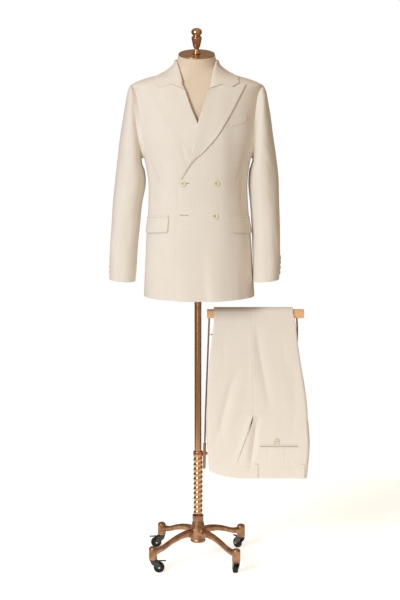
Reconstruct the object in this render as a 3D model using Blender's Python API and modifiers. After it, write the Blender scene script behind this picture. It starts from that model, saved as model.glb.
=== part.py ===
"""A two-piece suit on its stand: a double-breasted jacket on a limbless dress form, whose
wheeled screw stand also carries a rail with the trousers folded over it.

Metres, +Z up. The wearer's left is +X and the wearer faces -Y. Shapes are worked out round
the pole's axis and then moved by STAND_X and STAND_Y, so that the origin lies on the floor
under the middle of the whole.
"""

import math
from collections import namedtuple

import bmesh
import bpy
import numpy as np
from mathutils import Matrix, Vector

# ---------------------------------------------------------------- driving dimensions

STAND_X, STAND_Y = -0.0390, -0.0011     # the pole's axis, from the middle of the whole
GAP = 0.0003                        # between pieces that touch
JACKET_WALL = 0.0016
TROUSER_WALL = 0.0010
LAYER = 0.0007                      # air between cloth and the cloth that lies on it
COLLAR_LAYER = 0.0024               # the same under the collar, where the neck curves most
SEAM = 0.07                         # half the gap between two panels, degrees round the body
WELD = 0.00001                      # points nearer than this are one

HEM_Z = 0.893
ARMPIT_Z = 1.335
PANEL_TOP_ARM_Z = 1.352             # where the side panel's corners meet the armhole
SHOULDER_Z = 1.567
NECK_SEAM_Z = 1.622
FRONT_SEAM, BACK_SEAM = 68.0, 112.0     # side panel's two seams, degrees round the body
SHOULDER_SEAM = 97.0

POLE_R, POLE_WALL = 0.01125, 0.0015
POLE_LOW_Z = 0.075
SCREW_R, SCREW_PITCH = 0.0153, 0.0163
SCREW_LOW_Z, SCREW_HIGH_Z = 0.1560, 0.3530
HUB_TOP_Z, HUB_LOW_Z, HUB_BORE_R = 0.1575, 0.0657, 0.0160
LEG_REACH, LEG_TURN = 0.191, 40.3       # hub to boss, and the first leg's angle, degrees
BOSS_R, BOSS_LOW_Z, BOSS_HIGH_Z, BOSS_BORE_R = 0.0137, 0.0430, 0.0860, 0.0053

WHEEL_R, WHEEL_WIDTH, WHEEL_BORE_R = 0.0180, 0.0150, 0.0034
WHEEL_STEPS = 16
AXLE_Z = WHEEL_R * math.cos(math.pi / WHEEL_STEPS)      # the wheel stands on one of its flats
TRAIL = 0.0195                      # swivel axis to axle
CASTER_HEADINGS = {"back_right": 190.0, "back_left": 125.0, "front_right": 4.0, "front_left": 98.0}

CHEEK = 0.0022                      # thickness of a fork's sides
WHEEL_SLACK = 0.0006                # air between the wheel and each of them
RACE_R, RACE_LOW_Z = 0.0118, 0.0396     # the swivel's bearing, up to the boss
PEDAL_LENGTH, PEDAL_HALF_WIDTH = 0.0230, 0.0055     # past the axle, and across

NECK_R, NECK_TILT = 0.0576, 14.5    # the form's neck and how far its top leans forward, degrees
NECK_TOP = Vector((-0.0040, -0.006, 1.6600))
FORM_WALL = 0.0045
CAP_THICK, CAP_ROUND, CAP_OVERHANG = 0.0042, 0.0012, 0.0006

BAR_LEFT_X, BAR_RIGHT_X = 0.0292, 0.3435
BAR_TOP_Z, BAR_HEIGHT, BAR_DEPTH = 0.8455, 0.0290, 0.0200
ROD_R, CROSS_ROD_R = 0.0028, 0.0024
CROSS_ROD_Z = 0.762
CLAMP_Z = 0.3640                    # middle of the rail's clamp on the pole

FOLD_R = 0.0112                     # inner radius of the trousers over the bar
FOLD_CENTRE_Z = BAR_TOP_Z + 0.0012 - FOLD_R
TROUSER_WAIST_Z = 0.2925
WAISTBAND = 0.0385
WAIST_DROP = FOLD_CENTRE_Z - TROUSER_WAIST_Z    # the waist's edge below the fold's centre
HEM_DROP = 0.500                    # hems below it, behind the rail
CROTCH_DROP = 0.300

BUTTON_R, BUTTON_THICK = 0.0100, 0.0032
CUFF_BUTTON_R, CUFF_BUTTON_THICK = 0.0075, 0.0028
POCKET_BUTTON_R = 0.0070

# ---------------------------------------------------------------- tables of sections

# Turned pieces, by radius and height: the finial from its foot, the hub from the floor.
Turn = namedtuple("Turn", "radius z")
FINIAL = [
    Turn(0.0, 0.0), Turn(0.0125, 0.0), Turn(0.0125, 0.0030), Turn(0.0095, 0.0050),
    Turn(0.0100, 0.0085), Turn(0.0072, 0.0115), Turn(0.0074, 0.0165), Turn(0.0108, 0.0215),
    Turn(0.0140, 0.0360), Turn(0.0163, 0.0490), Turn(0.0160, 0.0530), Turn(0.0105, 0.0555),
    Turn(0.0118, 0.0580), Turn(0.0163, 0.0635), Turn(0.0172, 0.0695), Turn(0.0145, 0.0755),
    Turn(0.0080, 0.0795), Turn(0.0, 0.0805),
]
HUB = [
    Turn(HUB_BORE_R, HUB_LOW_Z), Turn(0.0245, HUB_LOW_Z), Turn(0.0255, 0.0720),
    Turn(0.0215, 0.0780), Turn(0.0262, 0.0900), Turn(0.0262, 0.1020), Turn(0.0225, 0.1180),
    Turn(0.0177, 0.1380), Turn(0.0186, 0.1440), Turn(0.0186, HUB_TOP_Z),
    Turn(HUB_BORE_R, HUB_TOP_Z),
]
# One side of a caster's fork, from the swivel's axis back to the axle.
Cheek = namedtuple("Cheek", "x z")
FORK_CHEEK = [
    Cheek(-0.0085, 0.0388), Cheek(TRAIL - 0.0040, 0.0388), Cheek(TRAIL + 0.0070, 0.0215),
    Cheek(TRAIL + 0.0055, 0.0125), Cheek(TRAIL - 0.0055, 0.0125), Cheek(-0.0070, 0.0320),
]
# The rail's bar in section, from its top: flat below, with a rounded back above.
Beam = namedtuple("Beam", "y z")
BAR_SECTION = [
    Beam(-0.0070, -BAR_HEIGHT), Beam(0.0070, -BAR_HEIGHT), Beam(0.0100, -BAR_HEIGHT + 0.0030),
    Beam(0.0100, -0.0080), Beam(0.0089, -0.0040), Beam(0.0060, -0.0011), Beam(0.0020, 0.0),
    Beam(-0.0020, 0.0), Beam(-0.0060, -0.0011), Beam(-0.0089, -0.0040), Beam(-0.0100, -0.0080),
    Beam(-0.0100, -BAR_HEIGHT + 0.0030),
]
# The rods that carry the bar, from its underside down to the clamp on the pole.
Route = namedtuple("Route", "x z")
BAR_UNDER_Z = BAR_TOP_Z - BAR_HEIGHT - GAP
ROD_LEFT = [
    Route(0.0366, BAR_UNDER_Z), Route(0.0346, CROSS_ROD_Z), Route(0.0322, 0.700),
    Route(0.0302, 0.6457), Route(0.0274, 0.570), Route(0.0245, 0.490), Route(0.0232, 0.430),
    Route(0.0222, 0.402),
]
ROD_RIGHT = [
    Route(0.3204, BAR_UNDER_Z), Route(0.3222, 0.790), Route(0.3225, CROSS_ROD_Z),
    Route(0.3200, 0.720), Route(0.3090, 0.668), Route(0.2840, 0.612), Route(0.2450, 0.556),
    Route(0.1950, 0.504), Route(0.1400, 0.456), Route(0.0900, 0.415), Route(0.0520, 0.384),
    Route(0.0342, 0.3674),
]
# The clamp's socket, which takes the left rod's lower end.
SOCKET = [Route(0.0206, 0.3150), Route(0.0214, 0.3600), Route(0.0222, 0.4015)]
SOCKET_R = 0.0046
CLAMP_R, CLAMP_CROWN, CLAMP_HALF_HEIGHT = 0.0150, 0.0008, 0.0095

# The jacket's body, level by level: half its width, its depth before and behind the pole,
# and how square the section is (2 is an ellipse).
Body = namedtuple("Body", "z half_width front back square")
BODY = [
    Body(0.893, 0.1785, 0.130, 0.126, 2.40),
    Body(0.980, 0.1735, 0.128, 0.122, 2.40),
    Body(1.080, 0.1680, 0.124, 0.112, 2.40),
    Body(1.180, 0.1600, 0.122, 0.104, 2.40),
    Body(1.260, 0.1585, 0.125, 0.107, 2.40),
    Body(1.340, 0.1710, 0.130, 0.118, 2.45),
    Body(1.420, 0.1890, 0.130, 0.126, 2.50),
    Body(1.500, 0.1955, 0.114, 0.120, 2.45),
    Body(1.545, 0.2005, 0.092, 0.102, 2.30),
    Body(1.568, 0.2040, 0.078, 0.088, 2.20),
    Body(1.582, 0.1730, 0.072, 0.082, 2.10),
    Body(1.600, 0.1130, 0.066, 0.079, 2.00),
    Body(1.618, 0.0835, 0.060, 0.079, 2.00),
    Body(1.640, 0.0660, 0.056, 0.080, 2.00),
    Body(1.665, 0.0610, 0.053, 0.081, 2.00),
]

# The form under it, from its open bottom to the neck.
FORM = [
    Body(0.925, 0.1650, 0.1175, 0.1135, 2.40),
    Body(1.080, 0.1570, 0.1120, 0.1010, 2.40),
    Body(1.180, 0.1490, 0.1100, 0.0930, 2.40),
    Body(1.260, 0.1480, 0.1130, 0.0960, 2.40),
    Body(1.340, 0.1600, 0.1180, 0.1070, 2.45),
    Body(1.420, 0.1780, 0.1180, 0.1150, 2.50),
    Body(1.500, 0.1855, 0.1020, 0.1100, 2.45),
    Body(1.545, 0.1925, 0.0830, 0.0940, 2.30),
    Body(1.5665, 0.1956, 0.0700, 0.0810, 2.20),
    Body(1.5806, 0.1702, 0.0650, 0.0760, 2.10),
    Body(1.5986, 0.1102, 0.0610, 0.0720, 2.00),
    Body(1.6130, 0.0800, 0.0595, 0.0660, 2.00),
    Body(1.6270, 0.0612, 0.0590, 0.0600, 2.00),
]

# How far the form leans to a side on its pole, and the jacket with it.
Lean = namedtuple("Lean", "z x")
LEAN = [Lean(0.893, 0.0040), Lean(1.060, 0.0024), Lean(1.250, 0.0000), Lean(1.450, -0.0030),
        Lean(1.600, -0.0042), Lean(1.665, -0.0042)]

# The fronts' inner edges, from the hem to the top button and on along the lapel's roll to the
# neck. Each front covers what lies past its edge towards its own side; the left laps over.
Edge = namedtuple("Edge", "z left right")
EDGE = [
    Edge(0.893, -0.0764, -0.0724),
    Edge(1.000, -0.0736, -0.0706),
    Edge(1.100, -0.0699, -0.0681),
    Edge(1.200, -0.0655, -0.0648),
    Edge(1.268, -0.0560, -0.0570),
    Edge(1.306, -0.0362, -0.0398),
    Edge(1.368, -0.0137, -0.0198),
    Edge(1.442, 0.0030, -0.0030),
    Edge(1.497, 0.0205, 0.0190),
    Edge(1.550, 0.0390, 0.0370),
    Edge(1.578, 0.0466, 0.0457),
    Edge(1.600, 0.0520, 0.0515),
    Edge(1.624, 0.0570, 0.0580),
    Edge(1.645, 0.0612, 0.0625),
]

# How far the lapping front stands off the body, over the under front and its lapel.
Lap = namedtuple("Lap", "z lift")
LAP = [
    Lap(0.893, 0.0026),
    Lap(1.150, 0.0026),
    Lap(1.200, 0.0026),
    Lap(1.250, 0.0052),
    Lap(1.300, 0.0054),
    Lap(1.440, 0.0054),
    Lap(1.480, 0.0034),
    Lap(1.530, 0.0006),
    Lap(1.560, 0.0000),
    Lap(1.665, 0.0000),
]
LAP_FULL_X, LAP_END_X = 0.073, 0.122

# The armhole's edge in degrees round the body, up from the armpit to the shoulder.
Armhole = namedtuple("Armhole", "z front back")
ARMHOLE = [
    Armhole(1.3350, 90.0, 90.0),
    Armhole(1.3375, 80.0, 100.0),
    Armhole(1.3430, 73.0, 107.0),
    Armhole(1.3520, 68.0, 112.0),
    Armhole(1.3800, 66.5, 117.0),
    Armhole(1.4200, 66.0, 120.0),
    Armhole(1.4700, 67.5, 119.0),
    Armhole(1.5100, 70.0, 116.0),
    Armhole(1.5400, 74.5, 111.0),
    Armhole(1.5600, 83.0, 104.0),
    Armhole(1.5670, 97.0, 97.0),
]

# Soft folds that hang in the jacket's skirt, and the drag below each armhole.
Fold = namedtuple("Fold", "angle spread low high depth")
BODY_FOLDS = [
    Fold(-28.0, 7.0, 0.86, 1.10, -0.0028),
    Fold(-12.0, 7.0, 0.86, 1.06, 0.0022),
    Fold(2.0, 6.0, 0.86, 1.07, -0.0024),
    Fold(14.0, 7.0, 0.86, 1.12, 0.0020),
    Fold(50.0, 9.0, 0.86, 1.08, -0.0024),
    Fold(-58.0, 8.0, 1.16, 1.36, -0.0026),
    Fold(58.0, 8.0, 1.16, 1.38, -0.0030),
    Fold(126.0, 9.0, 1.16, 1.40, -0.0028),
    Fold(-126.0, 9.0, 1.16, 1.40, -0.0028),
    Fold(150.0, 11.0, 0.86, 1.10, 0.0024),
    Fold(-156.0, 11.0, 0.86, 1.08, 0.0024),
]

# Sleeve sections from the shoulder down: outer and inner point in X and Z, middle and half
# depth in Y, and how far the section leans out on the right sleeve and in on the left.
Sleeve = namedtuple("Sleeve", "out_x out_z in_x in_z mid_y half_y swing")
SLEEVE = [
    Sleeve(0.2080, 1.5665, 0.1760, 1.3335, 0.003, 0.0625, 0.003),
    Sleeve(0.2145, 1.5575, 0.1775, 1.3305, 0.003, 0.0680, 0.003),
    Sleeve(0.2205, 1.5420, 0.1775, 1.3270, 0.003, 0.0715, 0.003),
    Sleeve(0.2262, 1.5120, 0.1770, 1.3230, 0.003, 0.0745, 0.003),
    Sleeve(0.2350, 1.4620, 0.1755, 1.3180, 0.003, 0.0765, 0.003),
    Sleeve(0.2436, 1.4050, 0.1730, 1.3090, 0.003, 0.0765, 0.004),
    Sleeve(0.2522, 1.3430, 0.1665, 1.2900, 0.003, 0.0750, 0.003),
    Sleeve(0.2607, 1.2720, 0.1645, 1.2480, 0.003, 0.0715, 0.003),
    Sleeve(0.2665, 1.1950, 0.1735, 1.1850, 0.002, 0.0665, 0.006),
    Sleeve(0.2700, 1.1250, 0.1790, 1.1200, -0.004, 0.0625, 0.007),
    Sleeve(0.2720, 1.0600, 0.1835, 1.0560, -0.014, 0.0590, 0.009),
    Sleeve(0.2735, 1.0000, 0.1860, 0.9950, -0.026, 0.0560, 0.010),
    Sleeve(0.2722, 0.9510, 0.1885, 0.9440, -0.036, 0.0530, 0.012),
]
SLEEVE_FRONT_SEAM = 128.0           # degrees round the sleeve: 0 is outwards, 90 is forwards
BackSeam = namedtuple("BackSeam", "z angle")
SLEEVE_BACK_SEAM = [BackSeam(0.93, -26.0), BackSeam(1.10, -44.0), BackSeam(1.30, -78.0),
                    BackSeam(1.45, -98.0), BackSeam(1.56, -100.0)]
SleeveFold = namedtuple("SleeveFold", "angle spread low high depth")
SLEEVE_FOLDS = [
    SleeveFold(60.0, 22.0, 1.17, 1.33, -0.0030),
    SleeveFold(100.0, 20.0, 1.05, 1.17, -0.0026),
    SleeveFold(30.0, 18.0, 1.00, 1.12, 0.0018),
    SleeveFold(-110.0, 24.0, 1.08, 1.24, -0.0030),
    SleeveFold(150.0, 20.0, 1.20, 1.36, -0.0022),
]

# The lapel: its roll's height and the outer edge's place that goes with it.
Lapel = namedtuple("Lapel", "roll_z edge_x edge_z")
LAPEL = [
    Lapel(1.2760, -0.0470, 1.2825),
    Lapel(1.3000, -0.0160, 1.3294),
    Lapel(1.3350, 0.0203, 1.3650),
    Lapel(1.3850, 0.0599, 1.4095),
    Lapel(1.4300, 0.0894, 1.4548),
    Lapel(1.4750, 0.1130, 1.4940),
    Lapel(1.5150, 0.1370, 1.5389),
    Lapel(1.5490, 0.1530, 1.5678),
]
# The gorge seam from the roll to the notch and the two edges that leave the notch.
GORGE_ROLL_Z = 1.5514
GORGE_MIDDLE = (0.0796, 1.5680)
NOTCH = (0.1106, 1.5589)
LAPEL_TIP = (0.1530, 1.5678)
COLLAR_TIP = (0.1322, 1.5730)

# The collar's leaf, from its front end to the back of the neck: the fold along its top and
# its lower edge, both by angle round the body and height.
Collar = namedtuple("Collar", "fold_angle fold_z edge_angle edge_z")
COLLAR = [
    Collar(12.0, 1.5790, 46.5, 1.5810),
    Collar(24.0, 1.6040, 57.0, 1.5880),
    Collar(34.0, 1.6190, 67.0, 1.5935),
    Collar(40.0, 1.6260, 73.0, 1.5965),
    Collar(60.0, 1.6365, 90.0, 1.6010),
    Collar(90.0, 1.6410, 112.0, 1.5995),
    Collar(130.0, 1.6440, 140.0, 1.5960),
    Collar(180.0, 1.6450, 180.0, 1.5950),
]

# Pockets: a flap's front end and back end, by place across the front and height.
FLAP_FRONT_X, FLAP_BACK_ANGLE = 0.0935, 83.0
FLAP_FRONT_Z, FLAP_BACK_Z, FLAP_HEIGHT = 1.1565, 1.1450, 0.0480
JET_HEIGHT = 0.0050
WELT = {"inner_x": 0.1075, "inner_z": 1.4640, "outer_x": 0.1565, "outer_z": 1.4745, "height": 0.0240}

FRONT_BUTTONS = {"top_right": (-0.0464, 1.2638), "top_left": (0.0565, 1.2636),
                 "low_left": (0.0520, 1.1606)}
CUFF_BUTTON_ANGLE = {1: -13.0, -1: -22.0}        # round each sleeve, degrees
CUFF_BUTTON_LOW_Z, CUFF_BUTTON_STEP = 0.9700, 0.0154
CUFF_BUTTON_LIFT = {1: 0.0012, -1: 0.0008}          # clear of the sleeve's flat faces

# The trousers laid on their side over the bar: the front crease's and the back crease's place
# and each leg's thickness, by height below the fold's centre. Minus counts behind the rail.
Leg = namedtuple("Leg", "drop front_x back_x thick")
LEG_FRONT = [
    Leg(0.000, 0.0515, 0.3070, 0.0026),
    Leg(0.030, 0.0515, 0.3150, 0.0042),
    Leg(0.084, 0.0455, 0.3215, 0.0070),
    Leg(0.163, 0.0370, 0.3330, 0.0105),
    Leg(0.242, 0.0325, 0.3470, 0.0130),
    Leg(0.322, 0.0280, 0.3570, 0.0145),
    Leg(0.382, 0.0265, 0.3620, 0.0155),
    Leg(0.422, 0.0280, 0.3650, 0.0160),
    Leg(0.482, 0.0325, 0.3625, 0.0160),
    Leg(0.543, 0.0375, 0.3570, 0.0160),
]
LEG_BACK = [
    Leg(0.000, 0.0515, 0.3070, 0.0026),
    Leg(0.060, 0.0530, 0.3050, 0.0050),
    Leg(0.200, 0.0600, 0.2980, 0.0090),
    Leg(0.350, 0.0700, 0.2890, 0.0110),
    Leg(0.500, 0.0780, 0.2800, 0.0110),
]
# Folds in the outer face of the hanging trousers: the top and low end of each line, its half
# width and depth. Plus is a ridge.
Crease = namedtuple("Crease", "top_x top_drop low_x low_drop spread depth")
TROUSER_CREASES = [
    Crease(0.1780, 0.010, 0.1760, 0.250, 0.010, 0.0016),
    Crease(0.1830, 0.030, 0.2370, 0.330, 0.014, -0.0040),
    Crease(0.1250, 0.180, 0.0560, 0.430, 0.014, -0.0042),
    Crease(0.1500, 0.180, 0.0900, 0.430, 0.018, 0.0022),
    Crease(0.1960, 0.330, 0.1700, 0.520, 0.011, -0.0060),
    Crease(0.1720, 0.320, 0.1500, 0.500, 0.014, 0.0028),
    Crease(0.3050, 0.150, 0.3200, 0.360, 0.018, -0.0022),
]
LOOPS = {"side": 0.1905, "back": 0.3430}
LOOP_WIDTH, LOOP_LENGTH = 0.0100, 0.0480
BACK_POCKET = {"left_x": 0.2015, "right_x": 0.3240, "z": 0.4000, "height": 0.0085}
POCKET_BUTTON = (0.2570, 0.4170)

BLACK = (0.015, 0.014, 0.014)
COPPER = (0.52, 0.27, 0.15)
CLOTH = (0.80, 0.73, 0.62)
CALICO = (0.82, 0.76, 0.66)
HORN = (0.72, 0.68, 0.48)
BEECH = (0.78, 0.55, 0.34)

# ---------------------------------------------------------------- scene and materials


def clear_scene():
    for thing in list(bpy.data.objects):
        bpy.data.objects.remove(thing, do_unlink=True)


def new_collection(name):
    made = bpy.data.collections.new(name)
    bpy.context.scene.collection.children.link(made)
    return made


clear_scene()
SUIT = new_collection("two_piece_suit_on_stand")
CUTTERS = new_collection("cutters")


def axis_empty(name, place, parent=None):
    """An empty on an axis that its pieces turn about or slide along."""
    empty = bpy.data.objects.new(name, None)
    empty.empty_display_size = 0.03
    empty.location = place
    empty.parent = parent
    SUIT.objects.link(empty)
    return empty


def finish(name, colour, roughness, metallic):
    made = bpy.data.materials.new(name)
    made.use_nodes = True
    shader = made.node_tree.nodes["Principled BSDF"]
    shader.inputs["Base Color"].default_value = (*colour, 1.0)
    shader.inputs["Roughness"].default_value = roughness
    shader.inputs["Metallic"].default_value = metallic
    made.diffuse_color = (*colour, 1.0)
    return made


FINISHES = {
    "cloth": (CLOTH, 0.85, 0.0),
    "calico": (CALICO, 0.80, 0.0),
    "copper": (COPPER, 0.28, 1.0),
    "horn": (HORN, 0.35, 0.0),
    "beech": (BEECH, 0.45, 0.0),
    "black": (BLACK, 0.45, 0.0),
    "rubber": (BLACK, 0.70, 0.0),
}


def keep(name, mesh, kind, parent, place=(0.0, 0.0, 0.0), turn=None):
    """A named object of the suit, with its own material, held by an empty."""
    thing = bpy.data.objects.new(name, mesh)
    colour, roughness, metallic = FINISHES[kind]
    mesh.materials.clear()
    mesh.materials.append(finish(name + "_" + kind, colour, roughness, metallic))
    SUIT.objects.link(thing)
    thing.parent = parent
    thing.location = place
    if turn is not None:
        thing.rotation_euler = turn
    return thing


# ---------------------------------------------------------------- numbers along a table


def read(rows, field, at):
    """A table's column read at a value of its first column, by a smooth curve through the rows."""
    keys = [row[0] for row in rows]
    values = [getattr(row, field) for row in rows]
    slopes = np.gradient(values, keys)
    at = min(max(at, keys[0]), keys[-1])
    low = min(max(int(np.searchsorted(keys, at)) - 1, 0), len(keys) - 2)
    span = keys[low + 1] - keys[low]
    t = (at - keys[low]) / span
    return float((2 * t**3 - 3 * t**2 + 1) * values[low] + (t**3 - 2 * t**2 + t) * span * slopes[low]
                 + (3 * t**2 - 2 * t**3) * values[low + 1] + (t**3 - t**2) * span * slopes[low + 1])


def ease(t):
    """From 0 to 1 with level ends."""
    t = min(max(t, 0.0), 1.0)
    return t * t * (3.0 - 2.0 * t)


def spread(low, high, count):
    return [low + (high - low) * i / (count - 1) for i in range(count)]


def mix(one, other, t):
    return one + (other - one) * t


# ---------------------------------------------------------------- meshes from rings and walls


def solid(name, layers_out, layers_in):
    """A closed wall between an outer and an inner grid of points, row by row."""
    rows, columns = len(layers_out), len(layers_out[0])
    points = [p for row in layers_out for p in row] + [p for row in layers_in for p in row]
    under = rows * columns
    faces = []
    for i in range(rows - 1):
        for j in range(columns - 1):
            a, b = i * columns + j, i * columns + j + 1
            c, d = b + columns, a + columns
            faces.append((a, b, c, d))
            faces.append((under + a, under + d, under + c, under + b))
    rim = [j for j in range(columns)]
    rim += [i * columns + columns - 1 for i in range(1, rows)]
    rim += [(rows - 1) * columns + j for j in range(columns - 2, -1, -1)]
    rim += [i * columns for i in range(rows - 2, 0, -1)]
    for a, b in zip(rim, rim[1:] + rim[:1]):
        faces.append((b, a, under + a, under + b))
    return mesh_of(name, points, faces)


def mesh_of(name, points, faces):
    mesh = bpy.data.meshes.new(name)
    mesh.from_pydata([tuple(p) for p in points], [], faces)
    outward(mesh)
    mesh.shade_smooth()
    mesh.set_sharp_from_angle(angle=math.radians(40))
    return mesh


def loft(name, rings):
    """A closed solid through rings of equally many points, capped at both ends."""
    count = len(rings[0])
    points = [p for ring in rings for p in ring]
    faces = [tuple(range(count))[::-1],
             tuple(range(len(points) - count, len(points)))]
    for i in range(len(rings) - 1):
        for j in range(count):
            a, b = i * count + j, i * count + (j + 1) % count
            faces.append((a, b, b + count, a + count))
    return mesh_of(name, points, faces)


def evaluated(thing):
    """The mesh that an object's modifiers give."""
    bpy.context.view_layer.update()
    return bpy.data.meshes.new_from_object(thing.evaluated_get(bpy.context.evaluated_depsgraph_get()))


def turned(name, profile, steps):
    """A solid turned about Z from a profile of radius and height. A profile that starts on the
    axis ends there too; any other closes on itself, round a bore."""
    count = len(profile)
    edges = [(i, i + 1) for i in range(count - 1)]
    if profile[0][0] > 0.0:
        edges.append((count - 1, 0))
    outline = bpy.data.meshes.new(name + "_profile")
    outline.from_pydata([(radius, 0.0, z) for radius, z in profile], edges, [])
    lathe = bpy.data.objects.new(name + "_lathe", outline)
    CUTTERS.objects.link(lathe)
    screw = lathe.modifiers.new("screw", "SCREW")
    screw.steps = steps
    screw.render_steps = steps
    screw.use_merge_vertices = True
    screw.merge_threshold = WELD
    mesh = evaluated(lathe)
    bpy.data.objects.remove(lathe, do_unlink=True)
    outward(mesh)
    mesh.shade_smooth()
    mesh.set_sharp_from_angle(angle=math.radians(35))
    return mesh


def outward(mesh):
    """Welds a closed mesh and turns its faces out."""
    work = bmesh.new()
    work.from_mesh(mesh)
    bmesh.ops.remove_doubles(work, verts=work.verts, dist=WELD)
    bmesh.ops.recalc_face_normals(work, faces=work.faces)
    if work.calc_volume(signed=True) < 0:
        bmesh.ops.reverse_faces(work, faces=work.faces)
    work.to_mesh(mesh)
    work.free()


def cylinder(name, radius, low, high, steps):
    mesh = bpy.data.meshes.new(name)
    work = bmesh.new()
    bmesh.ops.create_cone(work, cap_ends=True, segments=steps, radius1=radius, radius2=radius,
                          depth=high - low, matrix=Matrix.Translation((0, 0, (low + high) / 2)))
    work.to_mesh(mesh)
    work.free()
    return mesh


def block(name, low, high, bevel=0.0):
    mesh = bpy.data.meshes.new(name)
    work = bmesh.new()
    size = [b - a for a, b in zip(low, high)]
    middle = [(a + b) / 2 for a, b in zip(low, high)]
    matrix = Matrix.Translation(middle) @ Matrix.Diagonal((*size, 1.0))
    bmesh.ops.create_cube(work, size=1.0, matrix=matrix)
    if bevel:
        bmesh.ops.bevel(work, geom=work.edges[:], offset=bevel, segments=2, profile=0.5,
                        affect="EDGES")
    work.to_mesh(mesh)
    work.free()
    return mesh


def combined(name, mesh, others, operation):
    """A mesh joined with, or cut by, the other meshes."""
    base = bpy.data.objects.new(name + "_base", mesh)
    CUTTERS.objects.link(base)
    for i, other in enumerate(others):
        tool = bpy.data.objects.new(f"{name}_tool_{i}", other)
        CUTTERS.objects.link(tool)
        tool.hide_render = True
        tool.display_type = "WIRE"
        step = base.modifiers.new("boolean", "BOOLEAN")
        step.operation = operation
        step.object = tool
    done = evaluated(base)
    for thing in list(CUTTERS.objects):
        bpy.data.objects.remove(thing, do_unlink=True)
    done.name = name
    outward(done)
    return done


def rod(name, points, radius):
    """A round rod along a smooth route, its ends capped."""
    curve = bpy.data.curves.new(name, "CURVE")
    curve.dimensions = "3D"
    curve.bevel_depth = radius
    curve.bevel_resolution = 2
    curve.use_fill_caps = True
    line = curve.splines.new("POLY")
    line.points.add(len(points) - 1)
    for point, place in zip(line.points, points):
        point.co = (*place, 1.0)
    holder = bpy.data.objects.new(name + "_curve", curve)
    CUTTERS.objects.link(holder)
    mesh = evaluated(holder)
    bpy.data.objects.remove(holder, do_unlink=True)
    outward(mesh)
    return mesh


# ---------------------------------------------------------------- the jacket's body surface


def signed_power(value, power):
    return math.copysign(abs(value) ** power, value)


def body_folds(angle, z):
    total = 0.0
    for fold in BODY_FOLDS:
        around = math.exp(-((angle - fold.angle) / fold.spread) ** 2)
        middle = (fold.low + fold.high) / 2
        along = max(0.0, 1.0 - ((z - middle) / (fold.high - middle)) ** 2)
        if fold.low < HEM_Z:
            along = 1.0 - ease((z - HEM_Z) / (fold.high - HEM_Z))
        total += fold.depth * around * along
    return total


def ring_point(rows, angle, z, out):
    """A point round a table of sections, moved out along the surface's normal. Angle 0 is the
    front, 90 the wearer's left and 180 the back."""
    turn = math.radians(angle)
    a = read(rows, "half_width", z)
    side = "front" if math.cos(turn) > 0 else "back"
    b = read(rows, side, z)
    square = read(rows, "square", z)
    x = a * signed_power(math.sin(turn), 2 / square)
    y = -b * signed_power(math.cos(turn), 2 / square)
    step = 0.001
    a_slope = (read(rows, "half_width", z + step) - read(rows, "half_width", z - step)) / (2 * step)
    b_slope = (read(rows, side, z + step) - read(rows, side, z - step)) / (2 * step)
    u, v = abs(x / a), abs(y / b)
    normal = Vector((math.copysign(u ** (square - 1), x) / a,
                     math.copysign(v ** (square - 1), y) / b,
                     -(u**square) * a_slope / a - (v**square) * b_slope / b)).normalized()
    return Vector((x + read(LEAN, "x", z), y, z)) + normal * out


def body_point(angle, z, out):
    return ring_point(BODY, angle, z, out + body_folds(angle, z))


def front_angle(x, z):
    """Where the body's section at a height reaches a given X in front, in degrees."""
    a, square = read(BODY, "half_width", z), read(BODY, "square", z)
    return math.degrees(math.asin(signed_power(min(abs(x) / a, 1.0), square / 2) *
                                  (1 if x >= 0 else -1)))


def lap_lift(x, z):
    """How far the left front lies out at a place on the chest."""
    return read(LAP, "lift", z) * (1.0 - ease((x - LAP_FULL_X) / (LAP_END_X - LAP_FULL_X)))


def panel_lift(side, angle, z):
    """The lift of whichever front lies on a side's chest at an angle."""
    if side < 0:
        return 0.0
    a, square = read(BODY, "half_width", z), read(BODY, "square", z)
    x = a * signed_power(math.sin(math.radians(angle)), 2 / square)
    return lap_lift(x, z) if angle < 90 else 0.0


def front_edge(side, z):
    """The inner edge of a side's front: the X it starts at, seen from its own side. It runs
    straight from one panel level to the next, and on past the top one."""
    field = "left" if side > 0 else "right"
    levels = PANEL_LEVELS + [EDGE[-1].z]
    return float(np.interp(z, levels, [read(EDGE, field, level) for level in levels]))


def side_limit(z, field):
    """The angle where a front or a back ends: its side seam, the armhole, the shoulder."""
    if z < PANEL_TOP_ARM_Z:
        return FRONT_SEAM if field == "front" else BACK_SEAM
    if z < SHOULDER_Z:
        return read(ARMHOLE, field, z)
    return SHOULDER_SEAM


PANEL_LEVELS = [0.893, 0.970, 1.050, 1.130, 1.200, 1.250, 1.275, 1.305, 1.352, 1.400,
                1.445, 1.485, 1.518, 1.545, 1.567, 1.575, 1.584, 1.595, 1.608, 1.622]
BACK_LEVELS = [0.893, 0.980, 1.065, 1.140, 1.210, 1.285, 1.352, 1.400, 1.445, 1.485, 1.518, 1.545,
               1.567, 1.575, 1.584, 1.595, 1.608, 1.622]
FRONT_COLUMNS, BACK_COLUMNS = 12, 7


def wall_between(name, places, wall, lift):
    """A cloth wall whose points are angles and heights on the body."""
    outer = [[body_point(angle, z, lift(angle, z)) for angle, z in row] for row in places]
    inner = [[body_point(angle, z, lift(angle, z) - wall) for angle, z in row] for row in places]
    return solid(name, outer, inner)


def make_front(side, word):
    places = []
    for z in PANEL_LEVELS:
        start = front_angle(front_edge(side, z), z)
        end = side_limit(z, "front") - SEAM
        places.append([(mix(start, end, t), z) for t in spread(0.0, 1.0, FRONT_COLUMNS)])
    lift = lambda angle, z: panel_lift(side, side * angle, z)
    flipped = [[(side * angle, z) for angle, z in row] for row in places]
    return keep("front_" + word, wall_between("front_" + word, flipped, JACKET_WALL, lift),
                "cloth", MAST)


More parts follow.
